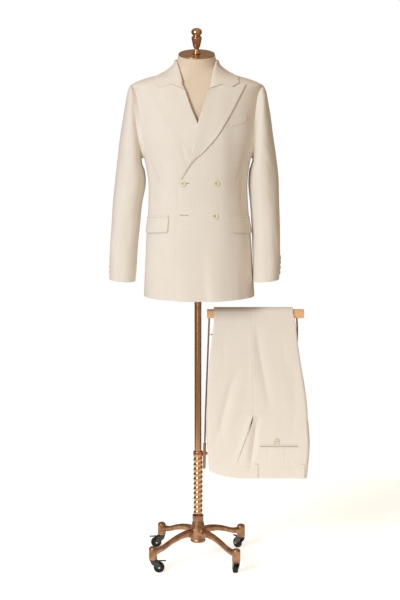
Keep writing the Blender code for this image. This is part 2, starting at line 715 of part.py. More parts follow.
def make_back(side, word):
    places = []
    for z in BACK_LEVELS:
        start, end = side_limit(z, "back") + SEAM, 180.0 - SEAM
        places.append([(side * mix(start, end, t), z) for t in spread(0.0, 1.0, BACK_COLUMNS)])
    return keep("back_" + word,
                wall_between("back_" + word, places, JACKET_WALL, lambda angle, z: 0.0),
                "cloth", MAST)


def make_side(side, word):
    """The panel under the arm; its top follows the bottom of the armhole."""
    places = []
    for t in (0.0, 0.15, 0.30, 0.45, 0.60, 0.75, 0.90, 1.0):
        row = []
        for s in spread(0.0, 1.0, 5):
            angle = mix(FRONT_SEAM + SEAM, BACK_SEAM - SEAM, s)
            top = mix(PANEL_TOP_ARM_Z, ARMPIT_Z, 1.0 - (abs(s - 0.5) * 2.0) ** 2.2)
            row.append((side * angle, mix(HEM_Z, top, t)))
        places.append(row)
    return keep("side_" + word,
                wall_between("side_" + word, places, JACKET_WALL, lambda angle, z: 0.0),
                "cloth", MAST)


# ---------------------------------------------------------------- lapels, collar, pockets

# How a turned edge lies: distance in from the roll, height over the panel, and the way its
# face looks, in degrees from straight out towards the roll.
Roll = namedtuple("Roll", "inward out facing")
ROLL = [Roll(-0.0014, -0.0008, 90.0), Roll(-0.0017, 0.0008, 80.0), Roll(-0.0004, 0.0022, 40.0)]
LAPEL_LAYER = 0.0015                # air under a lapel, which crosses the chest's curve
LEAF_MIDDLE = LAPEL_LAYER + JACKET_WALL / 2


def chest_point(side, x, z, out):
    """A point on a side's chest by X, counted out to that side, and height."""
    angle = front_angle(x, z)
    return body_point(side * angle, z, out + panel_lift(side, angle, z))


def leaf(side, rows, swell):
    """Outer and inner points of a turned leaf. Each row is a list of (x, z) places on the
    chest from the roll to the outer edge; swell gives each row's fullness near the roll."""
    outer, inner = [], []
    for row, full in zip(rows, swell):
        roll = Vector((row[0][0], 0, row[0][1]))
        slope = (front_edge(side, roll.z + 0.004) - front_edge(side, roll.z - 0.004)) / 0.008
        along = Vector((1.0, 0.0, -slope)).normalized()
        face_out, face_in = [], []
        for step in ROLL:
            place = roll + along * step.inward
            lift = step.out + full * max(0.0, step.out) / 0.0022
            tilt = math.radians(step.facing)
            for points, sign in ((face_out, 1), (face_in, -1)):
                shift = sign * JACKET_WALL / 2
                moved = place - along * shift * math.sin(tilt)
                points.append(chest_point(side, moved.x, moved.z, lift + shift * math.cos(tilt)))
        width = (Vector((row[-1][0], 0, row[-1][1])) - roll).length
        for x, z in row[1:]:
            away = (Vector((x, 0, z)) - roll).length
            lift = LEAF_MIDDLE + full * (1.0 - ease(away / min(0.045, width + 1e-6)))
            face_out.append(chest_point(side, x, z, lift + JACKET_WALL / 2))
            face_in.append(chest_point(side, x, z, lift - JACKET_WALL / 2))
        outer.append(face_out)
        inner.append(face_in)
    return outer, inner


def make_lapel(side, word):
    rows, swell = [], []
    heights = [row.roll_z for row in LAPEL]
    for t in spread(0.0, 1.0, 12):
        roll_z = mix(heights[0], heights[-1], t)
        roll_x = front_edge(side, roll_z)
        edge_x, edge_z = read(LAPEL, "edge_x", roll_z), read(LAPEL, "edge_z", roll_z)
        places = []
        for s in (0.0, 0.10, 0.25, 0.42, 0.58, 0.73, 1.0):
            x, z = mix(roll_x, edge_x, s), mix(roll_z, edge_z, s)
            if s > 0:
                top_x, top_z = gorge_place(side, s)
                share = max(0.0, (t - 0.55) / 0.45) ** 2.5
                x, z = mix(x, top_x, share), mix(z, top_z - 0.0004, share)
            places.append((x, z))
        rows.append(places)
        fullness = 0.0030 if side > 0 else 0.0024
        swell.append(fullness * ease((roll_z - (1.28 if side > 0 else 1.47)) / 0.05))
    return keep("lapel_" + word, solid("lapel_" + word, *leaf(side, rows, swell)), "cloth", MAST)


def gorge_place(side, s):
    """The lapel's top: along the gorge seam to the notch, then up to the lapel's tip."""
    start = (front_edge(side, GORGE_ROLL_Z), GORGE_ROLL_Z)
    stops = [(0.0, start), (0.42, GORGE_MIDDLE), (0.73, NOTCH), (1.0, LAPEL_TIP)]
    return along_stops(stops, s)


def along_stops(stops, s):
    for (s0, p0), (s1, p1) in zip(stops, stops[1:]):
        if s <= s1:
            t = (s - s0) / (s1 - s0)
            return mix(p0[0], p1[0], t), mix(p0[1], p1[1], t)
    return stops[-1][1]


def collar_end_place(side, s):
    """The leaf's front end: along the gorge seam to the notch, then up to the collar's tip."""
    start = (front_edge(side, GORGE_ROLL_Z + 0.002), GORGE_ROLL_Z + 0.002)
    stops = [(0.0, start), (0.54, GORGE_MIDDLE), (0.78, NOTCH), (1.0, COLLAR_TIP)]
    x, z = along_stops(stops, s)
    return side * front_angle(x, z), z + 0.0006


def collar_rows(side):
    """Half the collar's stations, from its front end to the middle of the back."""
    stations = []
    across = (0.0, 0.14, 0.32, 0.54, 0.78, 1.0)
    stations.append([collar_end_place(side, s) for s in across])
    marks = [row.fold_angle for row in COLLAR]
    for step in (0.0, 0.5, 1.0, 1.5, 2.0, 3.0, 3.5, 4.0, 4.5, 5.0, 5.45, 5.9, 6.28, 6.64, 7.0):
        low = min(int(step), len(COLLAR) - 2)
        mark = mix(marks[low], marks[low + 1], step - low)
        fold_z, edge_z = read(COLLAR, "fold_z", mark), read(COLLAR, "edge_z", mark)
        edge = read(COLLAR, "edge_angle", mark)
        fold = max(mark, front_angle(front_edge(side, fold_z), fold_z))
        stations.append([(side * mix(fold, edge, s), mix(fold_z, edge_z, s)) for s in across])
    return stations


def make_collar():
    """The leaf over its stand, one piece from gorge to gorge, turned over at the fold."""
    right, left = collar_rows(-1), collar_rows(1)
    stations = right + left[-2::-1]
    outer, inner = [], []
    for row in stations:
        side = 1 if row[0][0] > 0 else -1
        fold_angle, fold_z = row[0]
        stand_low = max(NECK_SEAM_Z + 0.0006, fold_z - 0.030)
        has_stand = fold_z > NECK_SEAM_Z + 0.006
        face_out, face_in = [], []
        half = JACKET_WALL / 2
        lift = panel_lift(side, abs(fold_angle), fold_z)
        if has_stand:
            low_z = stand_low
            face_out.append(body_point(fold_angle, low_z, -JACKET_WALL))
            face_in.append(body_point(fold_angle, low_z, 0.0))
            high_z = fold_z - 0.0030
            face_out.append(body_point(fold_angle, high_z, -JACKET_WALL))
            face_in.append(body_point(fold_angle, high_z, 0.0))
        else:
            inward = front_angle(front_edge(side, fold_z) - 0.0006, fold_z) * side
            beyond = front_angle(front_edge(side, fold_z) - 0.0022, fold_z) * side
            face_out.append(body_point(beyond, fold_z, lift - 0.0010))
            face_in.append(body_point(inward, fold_z, lift - 0.0010))
            face_out.append(body_point(beyond, fold_z, lift + 0.0004))
            face_in.append(body_point(inward, fold_z, lift + 0.0004))
        top = 0.0006 if has_stand else 0.0
        face_out.append(body_point(fold_angle, fold_z + top, lift + 0.0024))
        face_in.append(body_point(fold_angle, fold_z - 0.0012 * (1 if has_stand else 0),
                                  lift + 0.0010))
        for index, (angle, z) in enumerate(row[1:]):
            under = panel_lift(side, abs(angle), z)
            full = 0.0014 * (1.0 - ease(index / 3.0))
            face_out.append(body_point(angle, z, under + COLLAR_LAYER + full + JACKET_WALL))
            face_in.append(body_point(angle, z, under + COLLAR_LAYER + full))
        outer.append(face_out)
        inner.append(face_in)
    return keep("collar", solid("collar", outer, inner), "cloth", MAST)


def flap_place(s):
    """A pocket's line, from its front end to its back end."""
    start = front_angle(FLAP_FRONT_X, FLAP_FRONT_Z)
    return mix(start, FLAP_BACK_ANGLE, s), mix(FLAP_FRONT_Z, FLAP_BACK_Z, s)


def laid_strip(side, name, places, low, high, kind="cloth"):
    """A flat piece laid on the panel: its points are the panel's points moved out."""
    def point(angle, z, out):
        return body_point(side * angle, z, out + panel_lift(side, angle, z))
    outer = [[point(angle, z, high) for angle, z in row] for row in places]
    inner = [[point(angle, z, low) for angle, z in row] for row in places]
    return keep(name, solid(name, outer, inner), kind, MAST)


def make_pocket(side, word):
    flap, jet = [], []
    for t in (0.0, 0.5, 1.0):
        row = []
        for s in spread(0.0, 1.0, 11):
            angle, z = flap_place(s)
            corner = 0.004 * (ease((s - 0.9) / 0.1) + ease((0.1 - s) / 0.1)) * t
            row.append((angle, z - FLAP_HEIGHT * t + corner))
        flap.append(row)
    for t in (0.0, 1.0):
        row = []
        for s in spread(0.0, 1.0, 11):
            angle, z = flap_place(s)
            row.append((angle, z + 0.0006 + JET_HEIGHT * t))
        jet.append(row)
    laid_strip(side, "flap_" + word, flap, LAYER, LAYER + JACKET_WALL)
    laid_strip(side, "jet_" + word, jet, LAYER, LAYER + 0.0010)


def make_welt():
    rows = []
    for t in (0.0, 1.0):
        row = []
        for s in spread(0.0, 1.0, 4):
            x, z = mix(WELT["inner_x"], WELT["outer_x"], s), mix(WELT["inner_z"], WELT["outer_z"], s)
            row.append((front_angle(x, z), z - WELT["height"] * t))
        rows.append(row)
    laid_strip(1, "breast_welt", rows, LAYER, LAYER + 0.0014)


def button_mesh(name, radius, thick, steps):
    """A button turned with a domed face, its back at 0 and its face up."""
    return turned(name, [(0.0, 0.0), (radius * 0.85, 0.0), (radius, thick * 0.6),
                         (radius * 0.84, thick), (0.0, thick * 0.86)], steps)


def sew_on(name, radius, thick, place, normal, parent):
    turn = normal.to_track_quat("Z", "Y").to_euler()
    steps = 12 if radius == BUTTON_R else 8
    return keep(name, button_mesh(name, radius, thick, steps), "horn", parent, tuple(place), turn)


def make_front_buttons():
    for name, (x, z) in FRONT_BUTTONS.items():
        lift = lap_lift(x, z)
        angle = front_angle(x, z)
        normal = (body_point(angle, z, lift + 0.01) - body_point(angle, z, lift)).normalized()
        place = body_point(angle, z, lift + 0.0005)
        sew_on("button_" + name, BUTTON_R, BUTTON_THICK, place, normal, MAST)


# ---------------------------------------------------------------- sleeves


def armhole_point(side, turn, inset):
    """A point of the armhole's loop; turn 0 is the shoulder, 90 the front, 180 the armpit."""
    z_middle, z_half = (SHOULDER_Z + ARMPIT_Z) / 2, (SHOULDER_Z - ARMPIT_Z) / 2 - inset
    z = z_middle + z_half * math.cos(math.radians(turn))
    forward = math.sin(math.radians(turn)) > 0
    edge = read(ARMHOLE, "front" if forward else "back", z)
    middle = mix(90.0, SHOULDER_SEAM, ease((z - 1.45) / 0.11))
    away = math.degrees(inset / 0.17)
    edge += away if forward else -away
    if abs(math.sin(math.radians(turn))) < 1e-6:
        edge = middle
    return ring_point(BODY, side * edge, z, 0.0006)


def sleeve_ring(side, row, turn, out):
    """A point on one of the sleeve's sections."""
    swing = row.swing * (1 if side < 0 else -1)
    outer = Vector((row.out_x + swing, 0.0, row.out_z))
    inner = Vector((row.in_x + swing, 0.0, row.in_z))
    middle = (outer + inner) / 2
    reach = (outer - inner) / 2
    c, s = math.cos(math.radians(turn)), math.sin(math.radians(turn))
    folds = sum(fold.depth * math.exp(-((turn - fold.angle) / fold.spread) ** 2)
                * max(0.0, 1.0 - ((middle.z - (fold.low + fold.high) / 2)
                                  / ((fold.high - fold.low) / 2)) ** 2) for fold in SLEEVE_FOLDS)
    a, b = reach.length, row.half_y
    square = 2.0 / 2.25
    cc, ss = signed_power(c, square), signed_power(s, square)
    normal = Vector((cc / a, ss / b)).normalized()
    x = (a * cc) + normal.x * (out + folds)
    y = (b * ss) + normal.y * (out + folds)
    point = middle + reach.normalized() * x + Vector((0.0, row.mid_y - y, 0.0))
    return Vector((side * point.x, point.y, point.z))


def sleeve_point(side, step, turn, out):
    """A point on the sleeve: step 0 is the armhole, then one for each row of the table."""
    if step <= 0:
        loop = armhole_point(side, turn, 0.0030)
        centre = Vector((loop.x, 0.003, (SHOULDER_Z + ARMPIT_Z) / 2))
        return loop + (loop - centre).normalized() * out
    return sleeve_ring(side, SLEEVE[step - 1], turn, out)


def make_sleeve(side, word):
    def back_seam(step):
        z = SHOULDER_Z if step == 0 else (SLEEVE[step - 1].out_z + SLEEVE[step - 1].in_z) / 2
        return read(SLEEVE_BACK_SEAM, "angle", z)
    half_seam = 0.25
    for part, count in (("top", 10), ("under", 5)):
        outer, inner = [], []
        for step in range(len(SLEEVE) + 1):
            back = back_seam(step)
            if part == "top":
                turns = spread(back + half_seam, SLEEVE_FRONT_SEAM - half_seam, count)
            else:
                turns = spread(SLEEVE_FRONT_SEAM + half_seam, 360.0 + back - half_seam, count)
            outer.append([sleeve_point(side, step, turn if turn <= 180 else turn - 360, 0.0)
                          for turn in turns])
            inner.append([sleeve_point(side, step, turn if turn <= 180 else turn - 360,
                                       -JACKET_WALL) for turn in turns])
        name = f"sleeve_{part}_{word}"
        keep(name, solid(name, outer, inner), "cloth", MAST)


def sleeve_at(side, z, turn, out):
    """A point on the sleeve's lower half by height."""
    rows = SLEEVE[7:]
    for low, high in zip(rows[1:], rows):
        if low.out_z <= z <= high.out_z:
            t = (z - low.out_z) / (high.out_z - low.out_z)
            return sleeve_ring(side, low, turn, out) * (1 - t) + sleeve_ring(side, high, turn, out) * t
    return sleeve_ring(side, rows[-1], turn, out)


def make_cuff_buttons(side, word):
    for i in range(4):
        z = CUFF_BUTTON_LOW_Z + i * CUFF_BUTTON_STEP
        base = sleeve_at(side, z, CUFF_BUTTON_ANGLE[side], 0.0)
        normal = (sleeve_at(side, z, CUFF_BUTTON_ANGLE[side], 0.01) - base).normalized()
        sew_on(f"cuff_button_{word}_{i + 1}", CUFF_BUTTON_R, CUFF_BUTTON_THICK,
               base + normal * CUFF_BUTTON_LIFT[side], normal, MAST)


# ---------------------------------------------------------------- trousers


def waist_rise(x):
    """How far the waist's edge rises towards the fly."""
    return 0.025 * (max(0.0, 0.15 - x) / 0.115) ** 2


def trouser_crease(x, drop):
    total = 0.0
    for crease in TROUSER_CREASES:
        t = (drop - crease.top_drop) / (crease.low_drop - crease.top_drop)
        if 0.0 < t < 1.0:
            line = mix(crease.top_x, crease.low_x, t)
            total += crease.depth * math.sin(math.pi * t) ** 0.7 * math.exp(
                -((x - line) / crease.spread) ** 2)
    return total


def over_bar(x, out, station):
    """A place on the hanging trousers: out from the fold's inner face, and a station of
    ('front', drop), ('over', angle) or ('back', drop)."""
    kind, value = station
    reach = FOLD_R + out
    if kind == "over":
        turn = math.radians(value)
        return Vector((x, reach * math.sin(turn), FOLD_CENTRE_Z + reach * math.cos(turn)))
    sign = -1 if kind == "front" else 1
    return Vector((x, sign * reach, FOLD_CENTRE_Z - value))


def leg_section(half, crease, station):
    """Section of one panel in X and out: from the outseam round its crease to the inseam or,
    above the crotch, to the seam that joins the two halves. half is 1 for the right leg,
    which lies outside, and 0 for the left."""
    kind, value = station
    columns = OUTER_COLUMNS if half else INNER_COLUMNS
    rows = LEG_BACK if kind == "back" else LEG_FRONT
    drop = value if kind != "over" else 0.0
    thick = read(rows, "thick", drop)
    front_x, back_x = read(rows, "front_x", drop), read(rows, "back_x", drop)
    middle_x = mix(front_x, back_x, 0.47)
    edge_x = front_x if crease == "front" else back_x
    inward = 1.0 if crease == "front" else -1.0
    joined = 0.0
    if kind == "front":
        joined = ease((drop - CROTCH_DROP) / 0.07)
    base = 0.0006
    near, far = base + thick, base + 2 * thick
    face = far if half else base
    back_face = near + LAYER * 0.75 if half else near - LAYER * 0.75
    bend = min(0.012, 0.9 * thick)
    points = []
    for i in range(columns[0]):
        t = i / columns[0]
        x = mix(middle_x, edge_x + inward * bend, t)
        points.append([x, face])
    for i in range(columns[1] + 1):
        t = i / columns[1]
        leg_turn, hip_turn = math.pi * t, math.pi / 2 * t
        leg_x = edge_x + inward * bend * (1 - math.sin(leg_turn))
        leg_out = mix(face, back_face, (1 - math.cos(leg_turn)) / 2)
        hip_x = edge_x + inward * bend * (1 - math.sin(hip_turn))
        hip_out = mix(face, back_face, 1 - math.cos(hip_turn))
        points.append([mix(leg_x, hip_x, joined), mix(leg_out, hip_out, joined)])
    last_x = points[-1][0]
    inseam_x = mix(middle_x, edge_x + inward * (bend + 0.004), ease(joined * 1.6))
    for i in range(1, columns[2] + 1):
        points.append([mix(last_x, inseam_x, i / columns[2]), back_face])
    if half and kind == "front":
        for i, point in enumerate(points[:columns[0] + 1]):
            fade = 1.0 if i < columns[0] else 0.5
            point[1] += trouser_crease(point[0], drop) * fade
    return points


# Points of a section along its face, round its crease and back along its inner face, for the
# outer leg, whose face shows its folds, and for the one behind it.
OUTER_COLUMNS, INNER_COLUMNS = (8, 3, 2), (3, 2, 2)
HANGING = [WAIST_DROP - WAISTBAND, 0.462, 0.420, 0.380, 0.345, 0.300, 0.240, 0.170, 0.090, 0.030, 0.0]
ROUND_BAR = [-60.0, -30.0, 0.0, 30.0, 60.0]
BEHIND = [0.0, 0.150, HEM_DROP]


def trouser_panel(half, crease):
    """One leg's front or back panel, from the waistband over the bar to the hem."""
    outer, inner = [], []
    stations = [("front", drop) for drop in HANGING]
    stations += [("over", turn) for turn in ROUND_BAR]
    stations += [("back", drop) for drop in BEHIND]
    for index, station in enumerate(stations):
        section = leg_section(half, crease, station)
        inside = offset_line(section, TROUSER_WALL, crease, half)
        gap = GAP / 2 if crease == "front" else -GAP / 2
        for line, points in ((section, outer), (inside, inner)):
            row = []
            for i, (x, out) in enumerate(line):
                if i == 0 or i == len(line) - 1:
                    x -= gap
                place = over_bar(x, out, station)
                place.z += waist_rise(x) * WAIST_SHARE[min(index, 3)] + (GAP if index == 0 else 0.0)
                row.append(place)
            points.append(row)
    return outer, inner


WAIST_SHARE = [1.0, 0.55, 0.2, 0.0]     # how much of the waist's rise the first rows follow


def offset_line(section, wall, crease, half):
    """The section's inner line, a wall's thickness inside the outer one."""
    sign = 1.0 if (crease == "front") == bool(half) else -1.0
    moved = []
    for i, (x, out) in enumerate(section):
        before, after = section[max(i - 1, 0)], section[min(i + 1, len(section) - 1)]
        dx, dout = after[0] - before[0], after[1] - before[1]
        length = math.hypot(dx, dout) or 1.0
        moved.append([x - sign * dout / length * wall, out + sign * dx / length * wall])
    return moved


def make_trouser_panels():
    for half, word in ((1, "right"), (0, "left")):
        for crease in ("front", "back"):
            name = f"trouser_{crease}_{word}"
            outer, inner = trouser_panel(half, crease)
            keep(name, solid(name, outer, inner), "cloth", MAST)


def waist_line(half, drop):
    """The waistband's line from the fly round to the back seam, in X and out."""
    front = leg_section(half, "front", ("front", drop))
    back = leg_section(half, "back", ("front", drop))
    columns = OUTER_COLUMNS if half else INNER_COLUMNS
    kept = columns[0] + columns[1] + 1
    return front[:kept][::-1] + back[1:kept]


def make_waistband(half, word):
    outer, inner = [], []
    for t in (0.0, 0.5, 1.0):
        line = waist_line(half, WAIST_DROP - WAISTBAND * t)
        inside = offset_line(line, TROUSER_WALL * 1.6, "back", half)
        for points, section in ((outer, line), (inner, inside)):
            points.append([Vector((x, -(FOLD_R + out),
                                   TROUSER_WAIST_Z + waist_rise(x) + WAISTBAND * t))
                           for x, out in section])
    name = "waistband_" + word
    keep(name, solid(name, outer, inner), "cloth", MAST)


def hip_face(x, z, out):
    """A point on the outer face of the right half of the trousers, by X and height."""
    drop = FOLD_CENTRE_Z - z
    line = waist_line(1, drop)
    for (x0, out0), (x1, out1) in zip(line, line[1:]):
        if x0 <= x <= x1 and x1 > x0:
            return Vector((x, -(FOLD_R + mix(out0, out1, (x - x0) / (x1 - x0)) + out), z))
    return Vector((x, -(FOLD_R + line[-1][1] + out), z))


def make_trouser_trims():
    for word, x in LOOPS.items():
        rows_out, rows_in = [], []
        for t in (0.0, 0.5, 1.0):
            z = TROUSER_WAIST_Z + waist_rise(x) - 0.001 + LOOP_LENGTH * t
            rows_out.append([hip_face(x + LOOP_WIDTH * s, z, 0.0022) for s in (-0.5, 0.0, 0.5)])
            rows_in.append([hip_face(x + LOOP_WIDTH * s, z, 0.0008) for s in (-0.5, 0.0, 0.5)])
        keep("belt_loop_" + word, solid("belt_loop_" + word, rows_out, rows_in), "cloth", MAST)
    rows_out, rows_in = [], []
    for t in (0.0, 1.0):
        xs = spread(BACK_POCKET["left_x"], BACK_POCKET["right_x"], 6)
        z = BACK_POCKET["z"] - BACK_POCKET["height"] / 2 + BACK_POCKET["height"] * t
        rows_out.append([hip_face(x, z, 0.0020) for x in xs])
        rows_in.append([hip_face(x, z, 0.0010) for x in xs])
    keep("back_pocket_jet", solid("back_pocket_jet", rows_out, rows_in), "cloth", MAST)
    x, z = POCKET_BUTTON
    sew_on("back_pocket_button", POCKET_BUTTON_R, CUFF_BUTTON_THICK, hip_face(x, z, 0.0008),
           Vector((0.0, -1.0, 0.0)), MAST)


# ---------------------------------------------------------------- form and stand


def tilted(point):
    """A point of the neck's top frame, leaning forward, in the stand's frame."""
    return Matrix.Rotation(math.radians(NECK_TILT), 4, "X") @ Vector(point) + NECK_TOP


FORM_STEPS = 20
FORM_LEVELS = [0.925, 1.05, 1.18, 1.28, 1.36, 1.44, 1.50, 1.54, 1.566, 1.578, 1.593, 1.607, 1.622]
FORM_INNER_LEVELS = [0.925, 1.05, 1.18, 1.28, 1.36, 1.44, 1.50, 1.54, 1.566, 1.593, 1.622]


def form_rings(levels, neck_stops, inset):
    """The form's sections from its bottom to the neck's tilted top."""
    turns = [360.0 * k / FORM_STEPS for k in range(FORM_STEPS)]
    rings = [[ring_point(FORM, turn, z, -inset) for turn in turns] for z in levels]
    lowest = rings[-1]
    radius = NECK_R - inset
    top = [tilted((radius * math.sin(math.radians(turn)), -radius * math.cos(math.radians(turn)),
                   -inset)) for turn in turns]
    for t in neck_stops:
        rings.append([low.lerp(high, t) for low, high in zip(lowest, top)])
    return rings


def make_form():
    """A hollow shell, closed at the neck and open at the bottom."""
    outer = form_rings(FORM_LEVELS, (0.35, 1.0), 0.0)
    inner = form_rings(FORM_INNER_LEVELS, (1.0,), FORM_WALL)
    count = FORM_STEPS
    inner[0] = [Vector((p.x, p.y, FORM_LEVELS[0])) for p in inner[0]]
    points = [p for ring in outer + inner for p in ring]
    start = len(outer) * count
    faces = []
    for first, rings in ((0, outer), (start, inner)):
        for i in range(len(rings) - 1):
            for j in range(count):
                a, b = first + i * count + j, first + i * count + (j + 1) % count
                faces.append((a, b, b + count, a + count))
        last = first + (len(rings) - 1) * count
        faces.append(tuple(last + j for j in range(count)))
    for j in range(count):
        n = (j + 1) % count
        faces.append((n, j, start + j, start + n))
    keep("form", mesh_of("form", points, faces), "calico", MAST)


def make_neck_cap():
    turn = (math.radians(NECK_TILT), 0.0, 0.0)
    rim = NECK_R + CAP_OVERHANG
    cap = turned("neck_cap", [(0.0, GAP), (rim - CAP_ROUND, GAP), (rim, GAP + CAP_ROUND),
                              (rim, CAP_THICK - CAP_ROUND), (rim - CAP_ROUND, CAP_THICK),
                              (0.0, CAP_THICK)], 20)
    keep("neck_cap", cap, "copper", MAST, tuple(NECK_TOP), turn)
    foot = CAP_THICK + GAP
    finial = turned("finial", [(r, z + foot) for r, z in FINIAL], 10)
    keep("finial", finial, "copper", MAST, tuple(NECK_TOP), turn)


def make_pole():
    seat = tilted((0.0, 0.0, -FORM_WALL))
    slope = math.tan(math.radians(NECK_TILT))
    high = seat.z + slope * (-POLE_R - seat.y) - 0.0004
    inner = POLE_R - POLE_WALL
    tube = turned("pole", [(inner, POLE_LOW_Z), (POLE_R, POLE_LOW_Z), (POLE_R, high),
                           (inner, high)], 16)
    keep("pole", tube, "copper", MAST)


def make_screw():
    """The thread as one sleeve round the pole: a round crest that climbs it by loops."""
    steps = 8
    bore = POLE_R + GAP
    turns = (SCREW_HIGH_Z - SCREW_LOW_Z) / SCREW_PITCH
    def radius(turn, z):
        phase = (z / SCREW_PITCH - turn / (2 * math.pi)) % 1.0
        return bore + 0.0012 + (SCREW_R - bore - 0.0012) * max(0.0, math.sin(math.pi * phase)) ** 0.7
    rings = []
    count = int(round(turns * 4)) + 1
    for z in spread(SCREW_LOW_Z, SCREW_HIGH_Z, count):
        rings.append([(radius(2 * math.pi * k / steps, z), 2 * math.pi * k / steps, z)
                      for k in range(steps)])
    outer = [[Vector((r * math.cos(t), r * math.sin(t), z)) for r, t, z in ring] for ring in rings]
    points = [p for ring in outer for p in ring]
    bore_r = bore / math.cos(math.pi / steps)
    for z in (SCREW_LOW_Z, SCREW_HIGH_Z):
        points += [Vector((bore_r * math.cos(2 * math.pi * k / steps),
                           bore_r * math.sin(2 * math.pi * k / steps), z)) for k in range(steps)]
    low, high = count * steps, (count + 1) * steps
    faces = []
    for i in range(count - 1):
        for k in range(steps):
            a, b = i * steps + k, i * steps + (k + 1) % steps
            faces.append((a, b, b + steps, a + steps))
    for k in range(steps):
        n = (k + 1) % steps
        faces.append((n, k, low + k, low + n))
        faces.append((low + n, low + k, high + k, high + n))
        top = (count - 1) * steps
        faces.append((top + k, top + n, high + n, high + k))
    keep("screw", mesh_of("screw", points, faces), "copper", MAST)


def leg_places():
    """Each boss by name, with its place in plan."""
    names = ("back_left", "back_right", "front_right", "front_left")
    angles = [LEG_TURN + 90.0 * k for k in range(4)]
    return {name: Vector((LEG_REACH * math.cos(math.radians(a)),
                          LEG_REACH * math.sin(math.radians(a)), 0.0))
            for name, a in zip(names, angles)}


LegRing = namedtuple("LegRing", "reach middle_z half_height half_width")
LEG_RINGS = [
    LegRing(0.0200, 0.0930, 0.0185, 0.0085),
    LegRing(0.0400, 0.1000, 0.0135, 0.0085),
    LegRing(0.0700, 0.0985, 0.0110, 0.0080),
    LegRing(0.1100, 0.0885, 0.0100, 0.0075),
    LegRing(0.1500, 0.0735, 0.0095, 0.0077),
    LegRing(0.1840, 0.0670, 0.0110, 0.0085),
]


def make_base():
    """Hub, four arched legs and their caster bosses, cast in one piece."""
    hub = turned("hub", HUB, 16)
    pieces, bores = [], []
    corners = 8
    for place in leg_places().values():
        along = place.normalized()
        across = Vector((-along.y, along.x, 0.0))
        rings = []
        for row in LEG_RINGS:
            ring = []
            for k in range(corners):
                turn = 2 * math.pi * (k + 0.5) / corners
                wide = signed_power(math.cos(turn), 0.7) * row.half_width
                tall = signed_power(math.sin(turn), 0.7) * row.half_height
                ring.append(along * row.reach + across * wide + Vector((0, 0, row.middle_z + tall)))
            rings.append(ring)
        pieces.append(loft("leg", rings))
        boss = turned("boss", [(0.0, BOSS_LOW_Z), (BOSS_R, BOSS_LOW_Z), (BOSS_R, BOSS_HIGH_Z - 0.005),
                               (BOSS_R - 0.004, BOSS_HIGH_Z), (0.0, BOSS_HIGH_Z + 0.001)], 12)
        boss.transform(Matrix.Translation(place))
        pieces.append(boss)
        bore = cylinder("bore", BOSS_BORE_R, BOSS_LOW_Z - 0.01, BOSS_LOW_Z + 0.030, 8)
        bore.transform(Matrix.Translation(place))
        bores.append(bore)
    bores.append(cylinder("hub_bore", HUB_BORE_R, HUB_LOW_Z - 0.01, HUB_TOP_Z + 0.01, 16))
    cast = combined("base", hub, pieces, "UNION")
    cast = combined("base", cast, bores, "DIFFERENCE")
    keep("base", cast, "copper", GROUND)


def make_casters():
    """A swivel fork with its stem, axle and brake pedal, and a wheel, under each boss."""
    for word, place in leg_places().items():
        swivel = axis_empty("swivel_axis_" + word, (place.x, place.y, 0.0), GROUND)
        heading = Matrix.Rotation(math.radians(CASTER_HEADINGS[word]), 4, "Z")
        inner = WHEEL_WIDTH / 2 + WHEEL_SLACK
        outer = inner + CHEEK
        stem = cylinder("stem", BOSS_BORE_R - 2 * GAP, 0.0415, BOSS_LOW_Z + 0.028, 8)
        race = turned("race", [(0.0, RACE_LOW_Z), (RACE_R, RACE_LOW_Z),
                               (RACE_R, BOSS_LOW_Z - GAP), (0.0, BOSS_LOW_Z - GAP)], 10)
        parts = [race]
        for sign in (-1, 1):
            low, high = sorted((sign * inner, sign * outer))
            rings = [[Vector((x, y, z)) for x, z in FORK_CHEEK] for y in (low, high)]
            parts.append(loft("cheek", rings))
        axle = cylinder("axle", WHEEL_BORE_R - 0.0004, -outer - 0.001, outer + 0.001, 8)
        axle.transform(Matrix.Translation((TRAIL, 0, AXLE_Z)) @ Matrix.Rotation(math.pi / 2, 4, "X"))
        parts.append(axle)
        side = outer + 0.0003
        parts.append(block("roof", (-0.0090, -side, 0.0370), (TRAIL - 0.0030, side, 0.0402)))
        parts.append(block("pedal", (TRAIL - 0.0050, -PEDAL_HALF_WIDTH, 0.0377),
                           (TRAIL + PEDAL_LENGTH, PEDAL_HALF_WIDTH, 0.0397)))
        fork = combined("fork", stem, parts, "UNION")
        fork.transform(heading)
        keep("fork_" + word, fork, "black", swivel)
        rim = WHEEL_R
        half = WHEEL_WIDTH / 2
        wheel = turned("wheel", [(WHEEL_BORE_R, -half), (rim - 0.0014, -half), (rim, -half + 0.0018),
                                 (rim, half - 0.0018), (rim - 0.0014, half),
                                 (WHEEL_BORE_R, half)], WHEEL_STEPS)
        flat_down = Matrix.Rotation(math.pi / WHEEL_STEPS, 4, "Z")
        wheel.transform(heading @ Matrix.Rotation(math.pi / 2, 4, "X") @ flat_down)
        centre = heading @ Vector((TRAIL, 0, AXLE_Z))
        thing = keep("wheel_" + word, wheel, "rubber", swivel)
        thing.location = centre


